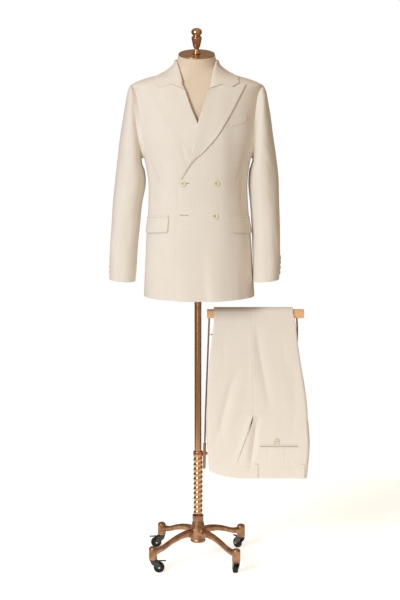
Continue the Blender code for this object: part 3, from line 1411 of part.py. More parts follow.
def make_rail():
    """The trouser rail: a beech bar on a copper frame that is clamped to the pole."""
    ends = [[Vector((x, y, BAR_TOP_Z + z)) for y, z in BAR_SECTION]
            for x in (BAR_LEFT_X, BAR_RIGHT_X)]
    bar = loft("rail_bar", ends)
    keep("rail_bar", bar, "beech", MAST)
    for name, route in (("rail_rod_left", ROD_LEFT), ("rail_rod_right", ROD_RIGHT)):
        keep(name, rod(name, [(x, 0, z) for x, z in route], ROD_R), "copper", MAST)
    ends = [x for route in (ROD_LEFT, ROD_RIGHT) for x, z in route if z == CROSS_ROD_Z]
    cross = [(ends[0] + ROD_R + GAP, 0, CROSS_ROD_Z), (ends[1] - ROD_R - GAP, 0, CROSS_ROD_Z)]
    keep("rail_rod_cross", rod("rail_rod_cross", cross, CROSS_ROD_R), "copper", MAST)
    low, high = CLAMP_Z - CLAMP_HALF_HEIGHT, CLAMP_Z + CLAMP_HALF_HEIGHT
    ring = turned("ring", [(POLE_R + GAP, low), (CLAMP_R, low), (CLAMP_R + CLAMP_CROWN, CLAMP_Z),
                           (CLAMP_R, high), (POLE_R + GAP, high)], 16)
    socket = rod("socket", [(x, 0, z) for x, z in SOCKET], SOCKET_R)
    lug = block("lug", (0.0140, -0.0036, CLAMP_Z - 0.0070), (0.0316, 0.0036, CLAMP_Z + 0.0070))
    keep("rail_clamp", combined("rail_clamp", ring, [socket, lug], "UNION"), "copper", MAST)


# ---------------------------------------------------------------- the whole

GROUND = axis_empty("stand_axis", (STAND_X, STAND_Y, 0.0))
MAST = axis_empty("mast_axis", (STAND_X, STAND_Y, 0.0))

make_form()
make_neck_cap()
make_pole()
make_screw()
make_base()
make_casters()
make_rail()
for side, word in ((1, "left"), (-1, "right")):
    make_front(side, word)
    make_side(side, word)
    make_back(side, word)
    make_lapel(side, word)
    make_pocket(side, word)
    make_sleeve(side, word)
    make_cuff_buttons(side, word)
make_collar()
make_welt()
make_front_buttons()
make_trouser_panels()
make_waistband(1, "right")
make_waistband(0, "left")
make_trouser_trims()
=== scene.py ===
"""A two-piece suit of cream linen and silk on its stand: a double-breasted jacket on a dress
form, and its trousers folded over a beech bar. Lengths are metres, +Z is up, the wearer faces
-Y and the wearer's left is +X. Shapes are worked out round the pole's axis, then moved by STAND.
"""

import math
from collections import namedtuple

import bmesh
import bpy
import numpy as np
from bpy.props import FloatProperty, FloatVectorProperty, PointerProperty
from mathutils import Matrix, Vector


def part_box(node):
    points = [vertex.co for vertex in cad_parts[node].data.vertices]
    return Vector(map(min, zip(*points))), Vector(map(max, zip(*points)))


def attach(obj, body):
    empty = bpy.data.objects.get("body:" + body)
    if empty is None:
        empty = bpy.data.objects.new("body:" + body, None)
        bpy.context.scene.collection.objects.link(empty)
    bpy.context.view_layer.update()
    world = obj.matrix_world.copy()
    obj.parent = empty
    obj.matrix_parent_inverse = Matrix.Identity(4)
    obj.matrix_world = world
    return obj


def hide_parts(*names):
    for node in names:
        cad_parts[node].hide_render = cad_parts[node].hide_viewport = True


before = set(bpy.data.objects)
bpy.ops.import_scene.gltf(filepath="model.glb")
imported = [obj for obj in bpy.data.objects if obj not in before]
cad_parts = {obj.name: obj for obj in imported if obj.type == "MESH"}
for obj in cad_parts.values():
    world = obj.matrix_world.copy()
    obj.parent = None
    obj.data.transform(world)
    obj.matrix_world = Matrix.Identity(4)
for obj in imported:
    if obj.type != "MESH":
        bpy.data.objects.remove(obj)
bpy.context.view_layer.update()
POLE_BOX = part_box("pole")
STAND = np.array([(POLE_BOX[0].x + POLE_BOX[1].x) / 2, (POLE_BOX[0].y + POLE_BOX[1].y) / 2, 0.0])

bl_info = {
    "name": "Two-piece suit on a stand",
    "version": (1, 0, 0),
    "blender": (4, 5, 0),
    "location": "View3D > Sidebar > Suit",
    "description": "Sews a double-breasted suit and builds the stand that carries it",
    "category": "Add Mesh",
}

# ---------------------------------------------------------------- sizes shared with the solids

GAP = 0.0003                        # air between pieces that touch
JACKET_WALL = 0.0016
TROUSER_WALL = 0.001
WAISTBAND_WALL = 0.0016
LAYER = 0.0007                      # air between cloth and the cloth that lies on it
LAPEL_LAYER = 0.0015
LAPEL_SPRING = 0.0016               # how far the lapping lapel's edge stands off the chest
COLLAR_LAYER = 0.0009
SEAM = 0.07                         # half the gap between two panels, degrees round the body

HEM_Z = 0.893
HEM_BELLY = 0.0026
ARMPIT_Z = 1.335
PANEL_TOP_ARM_Z = 1.352
SHOULDER_Z = 1.567
NECK_SEAM_Z = 1.622
FRONT_SEAM, BACK_SEAM = 68.0, 112.0
SHOULDER_SEAM = 97.0
ARMHOLE_SINK = -0.0004              # the sleeve's head starts this far under the front's face
BODY_REACH = 0.17                   # a middling radius of the body, to turn degrees into metres

POLE_R, POLE_WALL = 0.01125, 0.0015
POLE_LOW_Z = 0.075
SCREW_R, SCREW_PITCH = 0.0153, 0.0163
SCREW_LOW_Z, SCREW_HIGH_Z = 0.156, 0.353
HUB_TOP_Z, HUB_LOW_Z, HUB_BORE_R = 0.1575, 0.0657, 0.016
LEG_REACH, LEG_TURN = 0.191, 40.3
BOSS_R, BOSS_LOW_Z, BOSS_HIGH_Z, BOSS_BORE_R = 0.0137, 0.043, 0.086, 0.0053
AXLE_Z = 0.018 * math.cos(math.pi / 16)
WHEEL_WIDTH, WHEEL_BORE_R = 0.015, 0.0034
TRAIL = 0.0195
FORK_INNER, FORK_CHEEK = WHEEL_WIDTH / 2 + 0.0006, 0.0022
CASTER_HEADINGS = {"back_right": 190.0, "back_left": 125.0, "front_right": 4.0, "front_left": 98.0}

NECK_R, NECK_TILT = 0.0576, 14.5
NECK_TOP = np.array([-0.004, -0.006, 1.66])
FORM_WALL = 0.0045
CAP_THICK = 0.0042

BAR_LEFT_X, BAR_RIGHT_X = 0.0292, 0.3435
BAR_TOP_Z, BAR_HEIGHT = 0.8455, 0.029
ROD_R = 0.0028
CROSS_ROD_Z, CROSS_ROD_R = 0.762, 0.0024
CLAMP_Z = 0.364

FOLD_R = 0.0112
FOLD_CENTRE_Z = BAR_TOP_Z + 0.0012 - FOLD_R
TROUSER_WAIST_Z = 0.2925
WAISTBAND = 0.0385
WAIST_DROP = FOLD_CENTRE_Z - TROUSER_WAIST_Z
HEM_DROP = 0.5
CROTCH_DROP = 0.3

BUTTON_R, BUTTON_THICK = 0.01, 0.0032
CUFF_BUTTON_R, CUFF_BUTTON_THICK = 0.0075, 0.0028
POCKET_BUTTON_R = 0.007


def table(kind, *rows):
    """Rows under a named tuple's column names."""
    return [kind(*row) for row in rows]


# The jacket's body level by level: half its width, its depth before and behind the pole, and
# how square the section is (2 is an ellipse).
Body = namedtuple("Body", "z half_width front back square")
BODY = table(
    Body, (0.893, 0.1785, 0.13, 0.126, 2.4), (0.98, 0.1735, 0.128, 0.122, 2.4),
    (1.08, 0.168, 0.124, 0.112, 2.4), (1.18, 0.16, 0.122, 0.104, 2.4), (1.26, 0.1585, 0.125, 0.107, 2.4),
    (1.34, 0.171, 0.13, 0.118, 2.45), (1.42, 0.189, 0.13, 0.126, 2.5), (1.5, 0.1955, 0.114, 0.12, 2.45),
    (1.545, 0.2005, 0.092, 0.102, 2.3), (1.568, 0.204, 0.078, 0.088, 2.2),
    (1.582, 0.173, 0.072, 0.082, 2.1), (1.6, 0.113, 0.066, 0.079, 2), (1.618, 0.0835, 0.06, 0.079, 2),
    (1.64, 0.066, 0.056, 0.08, 2), (1.665, 0.061, 0.053, 0.081, 2))
FORM = table(
    Body, (0.925, 0.165, 0.1175, 0.1135, 2.4), (1.08, 0.157, 0.112, 0.101, 2.4),
    (1.18, 0.149, 0.11, 0.093, 2.4), (1.26, 0.148, 0.113, 0.096, 2.4), (1.34, 0.16, 0.118, 0.107, 2.45),
    (1.42, 0.178, 0.118, 0.115, 2.5), (1.5, 0.1855, 0.102, 0.11, 2.45),
    (1.545, 0.1925, 0.083, 0.094, 2.3), (1.5665, 0.1956, 0.07, 0.081, 2.2),
    (1.5806, 0.1702, 0.065, 0.076, 2.1), (1.5986, 0.1102, 0.061, 0.072, 2),
    (1.613, 0.08, 0.0595, 0.066, 2), (1.627, 0.0612, 0.059, 0.06, 2))
# How far the form leans to a side on its pole, and the jacket with it.
Lean = namedtuple("Lean", "z x")
LEAN = table(
    Lean, (0.893, 0.004), (1.06, 0.0024), (1.25, 0), (1.45, -0.003), (1.6, -0.0042), (1.665, -0.0042))
# The fronts' inner edges, from the hem to the top button and on along the lapel's roll.
Edge = namedtuple("Edge", "z left right")
EDGE = table(
    Edge, (0.893, -0.0764, -0.0724), (1, -0.0736, -0.0706), (1.1, -0.0699, -0.0681),
    (1.2, -0.0655, -0.0648), (1.268, -0.056, -0.057), (1.306, -0.0362, -0.0398),
    (1.368, -0.0137, -0.0198), (1.442, 0.003, -0.003), (1.497, 0.0205, 0.019), (1.55, 0.039, 0.037),
    (1.578, 0.0466, 0.0457), (1.6, 0.052, 0.0515), (1.624, 0.057, 0.058), (1.645, 0.0612, 0.0625))
EDGE_TOP_Z = EDGE[-1].z
# How far the lapping front stands off the body, over the under front and its lapel.
Lap = namedtuple("Lap", "z lift")
LAP = table(
    Lap, (0.893, 0.0026), (1.15, 0.0026), (1.2, 0.0026), (1.25, 0.0052), (1.3, 0.0054), (1.44, 0.0054),
    (1.48, 0.0034), (1.53, 0.0006), (1.56, 0), (1.665, 0))
LAP_FULL_X, LAP_END_X = 0.073, 0.122
# The armhole's edge in degrees round the body, up from the armpit to the shoulder.
Armhole = namedtuple("Armhole", "z front back")
ARMHOLE = table(
    Armhole, (1.335, 90, 90), (1.3375, 80, 100), (1.343, 73, 107), (1.352, 68, 112), (1.38, 66.5, 117),
    (1.42, 66, 120), (1.47, 67.5, 119), (1.51, 70, 116), (1.54, 74.5, 111), (1.56, 83, 104),
    (1.567, 97, 97))
# The body's hanging folds and the drag under each armhole.
Fold = namedtuple("Fold", "angle spread low high depth")
BODY_FOLDS = table(
    Fold, (-28, 7, 0.86, 1.1, -0.0028), (-12, 7, 0.86, 1.06, 0.0022), (2, 6, 0.86, 1.07, -0.0024),
    (14, 7, 0.86, 1.12, 0.002), (50, 11, 0.86, 1.08, -0.0024), (-58, 8, 1.16, 1.36, -0.0026),
    (58, 8, 1.16, 1.38, -0.003), (126, 9, 1.16, 1.4, -0.0028), (-126, 9, 1.16, 1.4, -0.0028),
    (150, 11, 0.86, 1.1, 0.0024), (-156, 11, 0.86, 1.08, 0.0024))
# Finer folds as lines on the body: the top and the low end by angle and height, half width in
# degrees and depth. Plus is a ridge.
Crumple = namedtuple("Crumple", "top_angle top_z low_angle low_z spread depth")
BODY_CRUMPLES = table(
    Crumple, (-64, 1.35, -44, 1.235, 3.2, -0.0012), (-58, 1.365, -34, 1.28, 3, -0.0008),
    (62, 1.372, 44, 1.25, 3, -0.0013), (64, 1.33, 56, 1.16, 2.6, -0.001),
    (-12.5, 1.402, -6.5, 1.29, 1.9, -0.0024), (-21, 1.262, -20, 1.205, 2.2, -0.001),
    (-18, 1.262, -46, 1.236, 3.4, -0.0007), (-16, 1.25, -40, 1.19, 3.2, -0.0008),
    (-12, 1.25, 10, 1.21, 3.6, -0.0006), (-20, 1.19, -25, 0.88, 2.6, -0.001),
    (-17, 1.06, -15, 0.88, 2.6, 0.0008), (1, 1.12, 5, 0.88, 2.8, -0.0011),
    (8, 1.06, 10, 0.88, 2.4, 0.0008), (24, 1.05, 27, 0.88, 3.6, -0.0006), (40, 1.08, 41, 0.88, 4, 0.0006),
    (112, 1.345, 128, 1.215, 3.4, -0.0014), (-112, 1.345, -128, 1.215, 3.4, -0.0014),
    (120, 1.4, 146, 1.33, 4, -0.001), (-120, 1.4, -146, 1.33, 4, -0.001),
    (170, 1.215, 140, 1.185, 5, -0.0009), (-172, 1.19, -146, 1.165, 5, -0.0009),
    (164, 1.06, 166, 0.88, 3.4, -0.0012), (-160, 1.07, -163, 0.88, 3.4, -0.0012),
    (134, 1.04, 136, 0.88, 3, 0.001))
# Sleeve sections from the shoulder down: outer and inner point in X and Z, middle and half
# depth in Y, and how far the section leans out on the right sleeve and in on the left.
Sleeve = namedtuple("Sleeve", "step out_x out_z in_x in_z mid_y half_y swing")
SLEEVE = table(
    Sleeve, (1, 0.208, 1.5665, 0.176, 1.3335, 0.003, 0.0625, 0.003),
    (2, 0.2145, 1.5575, 0.1775, 1.3305, 0.003, 0.068, 0.003),
    (3, 0.2205, 1.542, 0.1775, 1.327, 0.003, 0.0715, 0.003),
    (4, 0.2262, 1.512, 0.177, 1.323, 0.003, 0.0745, 0.003),
    (5, 0.235, 1.462, 0.1755, 1.318, 0.003, 0.0765, 0.003),
    (6, 0.2436, 1.405, 0.173, 1.309, 0.003, 0.0765, 0.004),
    (7, 0.2522, 1.343, 0.1665, 1.29, 0.003, 0.075, 0.003),
    (8, 0.2607, 1.272, 0.1645, 1.248, 0.003, 0.0715, 0.003),
    (9, 0.2665, 1.195, 0.1735, 1.185, 0.002, 0.0665, 0.006),
    (10, 0.27, 1.125, 0.179, 1.12, -0.004, 0.0625, 0.007),
    (11, 0.272, 1.06, 0.1835, 1.056, -0.014, 0.059, 0.009),
    (12, 0.2735, 1, 0.186, 0.995, -0.026, 0.056, 0.01),
    (13, 0.2722, 0.951, 0.1885, 0.944, -0.036, 0.053, 0.012))
SLEEVE_FRONT_SEAM = 128.0           # degrees round the sleeve: 0 is outwards, 90 is forwards
BackSeam = namedtuple("BackSeam", "z angle")
SLEEVE_BACK_SEAM = table(
    BackSeam, (0.93, -26), (1.1, -44), (1.3, -78), (1.45, -98), (1.56, -100))
SLEEVE_FOLDS = table(
    Fold, (60, 22, 1.17, 1.33, -0.003), (100, 20, 1.05, 1.17, -0.0026), (30, 18, 1, 1.12, 0.0018),
    (-110, 24, 1.08, 1.24, -0.003), (150, 20, 1.2, 1.36, -0.0022))
SLEEVE_CRUMPLES = table(
    Crumple, (95, 1.42, 30, 1.33, 9, -0.0012), (110, 1.38, 40, 1.27, 8, -0.0014),
    (118, 1.29, 55, 1.205, 8, -0.0013), (120, 1.215, 60, 1.165, 8, -0.0014),
    (116, 1.165, 62, 1.12, 8, 0.001), (70, 1.14, 40, 1, 9, -0.001), (20, 1.3, 10, 1.1, 9, -0.0008),
    (-60, 1.26, -20, 1.15, 9, -0.0012), (-100, 1.33, -50, 1.23, 9, -0.0012),
    (90, 1.06, 84, 0.95, 8, -0.001))
# The lapel: its roll's height and the outer edge's place that goes with it.
Lapel = namedtuple("Lapel", "roll_z edge_x edge_z")
LAPEL = table(
    Lapel, (1.276, -0.047, 1.2825), (1.3, -0.016, 1.3294), (1.335, 0.0203, 1.365),
    (1.385, 0.0599, 1.4095), (1.43, 0.0894, 1.4548), (1.475, 0.113, 1.494), (1.515, 0.137, 1.5389),
    (1.549, 0.153, 1.5678))
GORGE_ROLL_Z = 1.5514
GORGE_MIDDLE = (0.0796, 1.568)
NOTCH = (0.1106, 1.5589)
LAPEL_TIP = (0.153, 1.5678)
COLLAR_TIP = (0.1322, 1.573)
# The collar's leaf from its front end to the back of the neck: fold and lower edge.
Collar = namedtuple("Collar", "fold_angle fold_z edge_angle edge_z")
COLLAR = table(
    Collar, (12, 1.579, 46.5, 1.581), (24, 1.604, 57, 1.588), (34, 1.619, 67, 1.5935),
    (40, 1.626, 73, 1.5965), (60, 1.6365, 90, 1.601), (90, 1.641, 112, 1.5995), (130, 1.644, 140, 1.596),
    (180, 1.645, 180, 1.595))
FLAP_FRONT_X, FLAP_BACK_ANGLE = 0.0935, 83
FLAP_FRONT_Z, FLAP_BACK_Z, FLAP_HEIGHT, FLAP_WIDTH = 1.1565, 1.145, 0.048, 0.126
FLAP_CORNER = 0.0075
JET_HEIGHT = 0.005
WELT = {"inner_x": 0.1075, "inner_z": 1.464, "outer_x": 0.1565, "outer_z": 1.4745, "height": 0.024}
FRONT_BUTTONS = {"top_right": (-0.0464, 1.2638), "top_left": (0.0565, 1.2636),
                 "low_left": (0.052, 1.1606)}
CUFF_BUTTON_ANGLE = {1: -13.0, -1: -22.0}        # round each sleeve, degrees
CUFF_BUTTON_LOW_Z, CUFF_BUTTON_STEP = 0.97, 0.0154
# The hanging trousers: both creases' places and each leg's thickness, by height below the fold.
Leg = namedtuple("Leg", "drop front_x back_x thick")
LEG_FRONT = table(
    Leg, (0, 0.0515, 0.307, 0.0026), (0.03, 0.0515, 0.315, 0.0042), (0.084, 0.0455, 0.3215, 0.007),
    (0.163, 0.037, 0.333, 0.0105), (0.242, 0.0325, 0.347, 0.013), (0.322, 0.028, 0.357, 0.0145),
    (0.382, 0.0265, 0.362, 0.0155), (0.422, 0.028, 0.365, 0.016), (0.482, 0.0325, 0.3625, 0.016),
    (0.543, 0.0375, 0.357, 0.016))
LEG_BACK = table(
    Leg, (0, 0.0515, 0.307, 0.0026), (0.06, 0.053, 0.305, 0.005), (0.2, 0.06, 0.298, 0.009),
    (0.35, 0.07, 0.289, 0.011), (0.5, 0.078, 0.28, 0.011))
# Folds in the outer face of the trousers: top and low end by X and drop, half width and depth.
Crease = namedtuple("Crease", "top_x top_drop low_x low_drop spread depth")
TROUSER_CREASES = table(
    Crease, (0.178, 0.01, 0.176, 0.25, 0.01, 0.0016), (0.183, 0.03, 0.237, 0.33, 0.014, -0.004),
    (0.125, 0.18, 0.056, 0.43, 0.014, -0.0042), (0.15, 0.18, 0.09, 0.43, 0.018, 0.0022),
    (0.196, 0.33, 0.17, 0.52, 0.011, -0.006), (0.172, 0.32, 0.15, 0.5, 0.014, 0.0028),
    (0.305, 0.15, 0.32, 0.36, 0.018, -0.0022))
FINE_CREASES = table(
    Crease, (0.186, 0.06, 0.23, 0.3, 0.005, -0.0012), (0.115, 0.2, 0.062, 0.42, 0.005, -0.0012),
    (0.193, 0.34, 0.172, 0.51, 0.004, -0.0022), (0.2, 0.35, 0.186, 0.5, 0.005, 0.0012),
    (0.09, 0.04, 0.078, 0.19, 0.008, -0.0008), (0.27, 0.06, 0.29, 0.22, 0.008, -0.0009),
    (0.23, 0.44, 0.228, 0.505, 0.003, -0.001), (0.286, 0.44, 0.285, 0.505, 0.003, -0.001),
    (0.056, 0.3, 0.076, 0.48, 0.007, 0.001), (0.32, 0.3, 0.3, 0.42, 0.008, -0.0008))
LOOPS = {"side": 0.1905, "back": 0.343}
LOOP_WIDTH, LOOP_LENGTH = 0.01, 0.048
BACK_POCKET = {"left_x": 0.2015, "right_x": 0.324, "z": 0.4, "height": 0.0085}
POCKET_BUTTON = (0.257, 0.417)
POCKET_SLIT = ((0.1785, 0.501), (0.1255, 0.34))      # the slant pocket's mouth, X and height

# ---------------------------------------------------------------- colours and settings


def linear(colour):
    """An sRGB hex colour as the linear values that shaders take."""
    parts = [int(colour[i:i + 2], 16) / 255 for i in (1, 3, 5)]
    return tuple(c / 12.92 if c <= 0.04045 else ((c + 0.055) / 1.055) ** 2.4 for c in parts)


def colour_choice(name, description, colour):
    return FloatVectorProperty(name=name, description=description, subtype="COLOR", size=3,
                               min=0.0, max=1.0, default=linear(colour))


class SuitCloth(bpy.types.PropertyGroup):
    """What the suit is cut from."""
    linen: colour_choice("Suiting", "Colour of the linen and silk suiting", "#EAE2D6")
    slub: colour_choice("Slub", "Colour of its thicker threads", "#D9CEBD")
    thread: colour_choice("Thread", "Colour of buttonhole and button thread", "#D2C5A9")
    horn: colour_choice("Horn", "Colour of the horn buttons' pale rim", "#F3EFD9")
    heart: colour_choice("Horn heart", "Colour of the horn's darker heart", "#B9B070")
    calico: colour_choice("Calico", "Colour of the dress form's cover", "#E6D4BD")
    weave: FloatProperty(name="Weave pitch", description="Distance between two drawn threads",
                         default=0.0012, min=0.0003, max=0.01, subtype="DISTANCE", unit="LENGTH")
    seam_dip: FloatProperty(name="Seam dip", description="How deep the cloth is pulled in along a seam",
                            default=0.00045, min=0.0, max=0.002, subtype="DISTANCE", unit="LENGTH")
    crumple: FloatProperty(name="Crumple", description="Strength of the fine folds",
                           default=1.0, min=0.0, max=2.0, subtype="FACTOR")


class SuitStand(bpy.types.PropertyGroup):
    """What the stand and the rail are made of."""
    copper: colour_choice("Copper plate", "Colour of the plated steel", "#CDA27A")
    cast: colour_choice("Cast copper", "Colour of the plated casting", "#B48A68")
    patina: colour_choice("Patina", "Colour of the plate where it has darkened", "#7C5A43")
    beech: colour_choice("Beech", "Colour of the varnished bar", "#FBCB98")
    grain: colour_choice("Beech grain", "Colour of the wood's darker grain", "#E3A870")
    # The enamel colour also paints the shade in buttonhole slits and button holes.
    enamel: colour_choice("Enamel", "Colour of the caster forks", "#1B1A1A")
    rubber: colour_choice("Rubber", "Colour of the caster treads", "#151414")


class SuitStudio(bpy.types.PropertyGroup):
    """The room the suit is shown in."""
    floor: colour_choice("Floor", "Colour of the floor", "#FFFFFF")
    daylight: colour_choice("Daylight", "Colour of the key light", "#E9F4FF")
    key: FloatProperty(name="Key light", description="Power of the large light at the left",
                       default=141.0, min=0.0, max=2000.0, subtype="POWER", unit="POWER")
    fill: FloatProperty(name="Fill light", description="Power of the weak light at the right",
                        default=6.0, min=0.0, max=2000.0, subtype="POWER", unit="POWER")
    strip: FloatProperty(name="Strip light",
                         description="Power of the narrow light that draws a line on metal",
                         default=6.0, min=0.0, max=200.0, subtype="POWER", unit="POWER")
    sky: FloatProperty(name="Surround", description="Brightness of the surround as a light",
                       default=0.33, min=0.0, max=4.0)
    bounce: colour_choice("Bounce", "Colour of the light that comes from the surround", "#FFE5C5")


# ---------------------------------------------------------------- numbers


def read(rows, field, at):
    """A table's column read at values of its first column, by a smooth curve."""
    keys = np.array([row[0] for row in rows], float)
    values = np.array([getattr(row, field) for row in rows], float)
    slopes = np.gradient(values, keys)
    at = np.clip(at, keys[0], keys[-1])
    low = np.clip(np.searchsorted(keys, at) - 1, 0, len(keys) - 2)
    span = keys[low + 1] - keys[low]
    t = (at - keys[low]) / span
    return ((2 * t**3 - 3 * t**2 + 1) * values[low] + (t**3 - 2 * t**2 + t) * span * slopes[low]
            + (3 * t**2 - 2 * t**3) * values[low + 1] + (t**3 - t**2) * span * slopes[low + 1])


def ease(t):
    t = np.clip(t, 0.0, 1.0)
    return t * t * (3.0 - 2.0 * t)


def mix(one, other, t):
    return one + (other - one) * t


def power(value, exponent):
    return np.sign(value) * np.abs(value) ** exponent


def unit(vectors):
    length = np.linalg.norm(vectors, axis=-1, keepdims=True)
    return vectors / np.maximum(length, 1e-12)


def steps(length, spacing, ends=(0.0007, 0.0018, 0.0036)):
    """Shares from 0 to 1 along a length, a spacing apart and close together at both ends, so
    that an edge stays crisp."""
    near = np.array(ends)
    count = max(2, int(round((length - 2 * near[-1]) / spacing)))
    inner = np.linspace(near[-1], length - near[-1], count)
    return np.concatenate([[0.0], near[:-1], inner, (length - near[:-1])[::-1], [length]]) / length


def smooth_line(points, count):
    """A smooth curve through points, evenly sampled."""
    points = np.array(points, float)
    along = np.concatenate([[0.0], np.cumsum(np.linalg.norm(np.diff(points, axis=0), axis=1))])
    Row = namedtuple("Row", "at value")
    wanted = np.linspace(0.0, along[-1], count)
    columns = [read([Row(a, v) for a, v in zip(along, points[:, k])], "value", wanted)
               for k in range(points.shape[1])]
    return np.stack(columns, axis=1)


def rounded(outline, radius, closed=False, count=5):
    """An outline with each corner turned by a small curve."""
    points = [np.array(p, float) for p in outline]
    made = []
    for i, p in enumerate(points):
        if not closed and i in (0, len(points) - 1):
            made.append(p)
            continue
        before, after = points[i - 1], points[(i + 1) % len(points)]
        one, other = np.linalg.norm(before - p), np.linalg.norm(after - p)
        reach = min(radius, one * 0.45, other * 0.45)
        start, end = p + (before - p) / one * reach, p + (after - p) / other * reach
        for t in np.linspace(0.0, 1.0, count):
            made.append((1 - t) ** 2 * start + 2 * t * (1 - t) * p + t**2 * end)
    return np.array(made)


# ---------------------------------------------------------------- meshes


def mesh_from(name, points, faces, cut=None, weld=False, sharp=None):
    """A mesh in its place from points round the pole's axis, with normals facing out."""
    mesh = bpy.data.meshes.new(name)
    mesh.from_pydata((np.asarray(points, float) + STAND).tolist(), [], faces)
    if cut is not None:
        layer = mesh.uv_layers.new(name="cut")
        corner = np.zeros(len(mesh.loops), np.int32)
        mesh.loops.foreach_get("vertex_index", corner)
        layer.data.foreach_set("uv", np.asarray(cut, np.float32)[corner].ravel())
    shape = bmesh.new()
    shape.from_mesh(mesh)
    if weld:
        bmesh.ops.remove_doubles(shape, verts=shape.verts, dist=0.000002)
    bmesh.ops.recalc_face_normals(shape, faces=shape.faces)
    shape.to_mesh(mesh)
    shape.free()
    mesh.shade_smooth()
    if sharp is not None:
        mesh.set_sharp_from_angle(angle=math.radians(sharp))
    return mesh


def merged(*shapes):
    """Several (points, faces) as one."""
    points, faces, start = [], [], 0
    for some, their in shapes:
        points.append(np.asarray(some, float))
        faces += [[start + i for i in face] for face in their]
        start += len(some)
    return np.concatenate(points), faces


def moved(shape, matrix):
    points, faces = shape
    m = np.array(matrix)
    return np.asarray(points) @ m[:3, :3].T + m[:3, 3], faces


def grid_faces(rows, columns, around=False):
    index = np.arange(rows * columns).reshape(rows, columns)
    after = np.roll(index, -1, axis=1) if around else index[:, 1:]
    here = index if around else index[:, :-1]
    return np.stack([here[:-1], after[:-1], after[1:], here[1:]], axis=-1).reshape(-1, 4).tolist()


def loft(rings, capped=True):
    """Points and faces through rings of equally many points."""
    rings = np.asarray(rings, float)
    count, around = rings.shape[:2]
    faces = grid_faces(count, around, True)
    if capped:
        faces.append(list(range(around))[::-1])
        faces.append(list(range((count - 1) * around, count * around)))
    return rings.reshape(-1, 3), faces


def lathe(profile, turns):
    """Points and faces turned about Z from radius and height. A profile that starts off the
    axis closes on itself round a bore."""
    profile = np.asarray(profile, float)
    if profile[0][0] > 0:
        profile = np.concatenate([profile, profile[:1]])
    angle = np.linspace(0.0, 2 * math.pi, turns, endpoint=False)
    r, z = profile[:, :1], profile[:, 1:]
    rings = np.stack([r * np.cos(angle), r * np.sin(angle), z + 0 * angle], axis=-1)
    return loft(rings, capped=False)


def tube(line, radius, sides, closed=False):
    """Points and faces of a round rod along a line, with its ends domed or joined."""
    line = np.asarray(line, float)
    if closed:
        tangent = unit(np.roll(line, -1, axis=0) - np.roll(line, 1, axis=0))
    else:
        tangent = unit(np.gradient(line, axis=0))
    normal = np.cross(tangent[0], [0.0, 1.0, 0.0] if abs(tangent[0][1]) < 0.9 else [1.0, 0.0, 0.0])
    angle = np.linspace(0.0, 2 * math.pi, sides, endpoint=False)
    rings = []
    for place, along in zip(line, tangent):
        normal = unit(normal - along * np.dot(normal, along))
        across = np.cross(along, normal)
        rings.append(np.outer(np.cos(angle), normal) + np.outer(np.sin(angle), across))
    rings = np.array(rings)
    if closed:
        points = (line[:, None] + rings * radius).reshape(-1, 3)
        faces = grid_faces(len(line), sides, True)
        last = (len(line) - 1) * sides
        faces += [[last + k, last + (k + 1) % sides, (k + 1) % sides, k] for k in range(sides)]
        return points, faces
    whole = [line[:, None] + rings * radius]
    for end, way in ((0, -1), (-1, 1)):
        dome = [(line[end] + way * tangent[end] * radius * 0.5 * math.sin(t)
                 + rings[end] * radius * math.cos(t)) for t in (0.5, 1.0, 1.35)]
        whole.insert(0 if end == 0 else len(whole), np.array(dome[::-1] if end == 0 else dome))
    return loft(np.concatenate(whole))


def block(low, high, bevel):
    """A box with rounded edges, from its corners."""
    low, high = np.array(low, float), np.array(high, float)
    outline = [(low[0], low[1]), (high[0], low[1]), (high[0], high[1]), (low[0], high[1])]
    middle = (low[:2] + high[:2]) / 2
    edge = rounded(outline, bevel, closed=True)
    rings = []
    for height, inset in ((low[2], bevel), (low[2] + bevel * 0.3, bevel * 0.3), (low[2] + bevel, 0.0),
                          (high[2] - bevel, 0.0), (high[2] - bevel * 0.3, bevel * 0.3), (high[2], bevel)):
        share = 1.0 - inset / ((high[:2] - low[:2]) / 2)
        rings.append(np.column_stack([middle + (edge - middle) * share, np.full(len(edge), height)]))
    return loft(rings)


def plate(outline, low, high, bevel):
    """A flat plate across Y from an outline in X and Z, with its edges eased."""
    outline = np.asarray(outline, float)
    middle = outline.mean(axis=0)
    reach = np.abs(outline - middle).max()
    rings = []
    for y, inset in ((low, bevel), (low + bevel, 0.0), (high - bevel, 0.0), (high, bevel)):
        shape = middle + (outline - middle) * (1.0 - inset / reach)
        rings.append(np.column_stack([shape[:, 0], np.full(len(shape), y), shape[:, 1]]))
    return loft(rings)


def cast_together(name, shapes, voxel, rounds):
    """Overlapping forms run into one casting, with soft fillets where they meet."""
    source = mesh_from(name + "_rough", *merged(*shapes), weld=True)
    thing = bpy.data.objects.new(name + "_rough", source)
    bpy.context.scene.collection.objects.link(thing)
    remesh = thing.modifiers.new("remesh", "REMESH")
    remesh.mode = "VOXEL"
    remesh.voxel_size = voxel
    remesh.use_smooth_shade = True
    smooth = thing.modifiers.new("smooth", "SMOOTH")
    smooth.factor = 0.5
    smooth.iterations = rounds
    bpy.context.view_layer.update()
    seen = thing.evaluated_get(bpy.context.evaluated_depsgraph_get())
    made = bpy.data.meshes.new_from_object(seen)
    made.name = name
    bpy.data.objects.remove(thing, do_unlink=True)
    bpy.data.meshes.remove(source)
    made.materials.clear()
    made.shade_smooth()
    return made


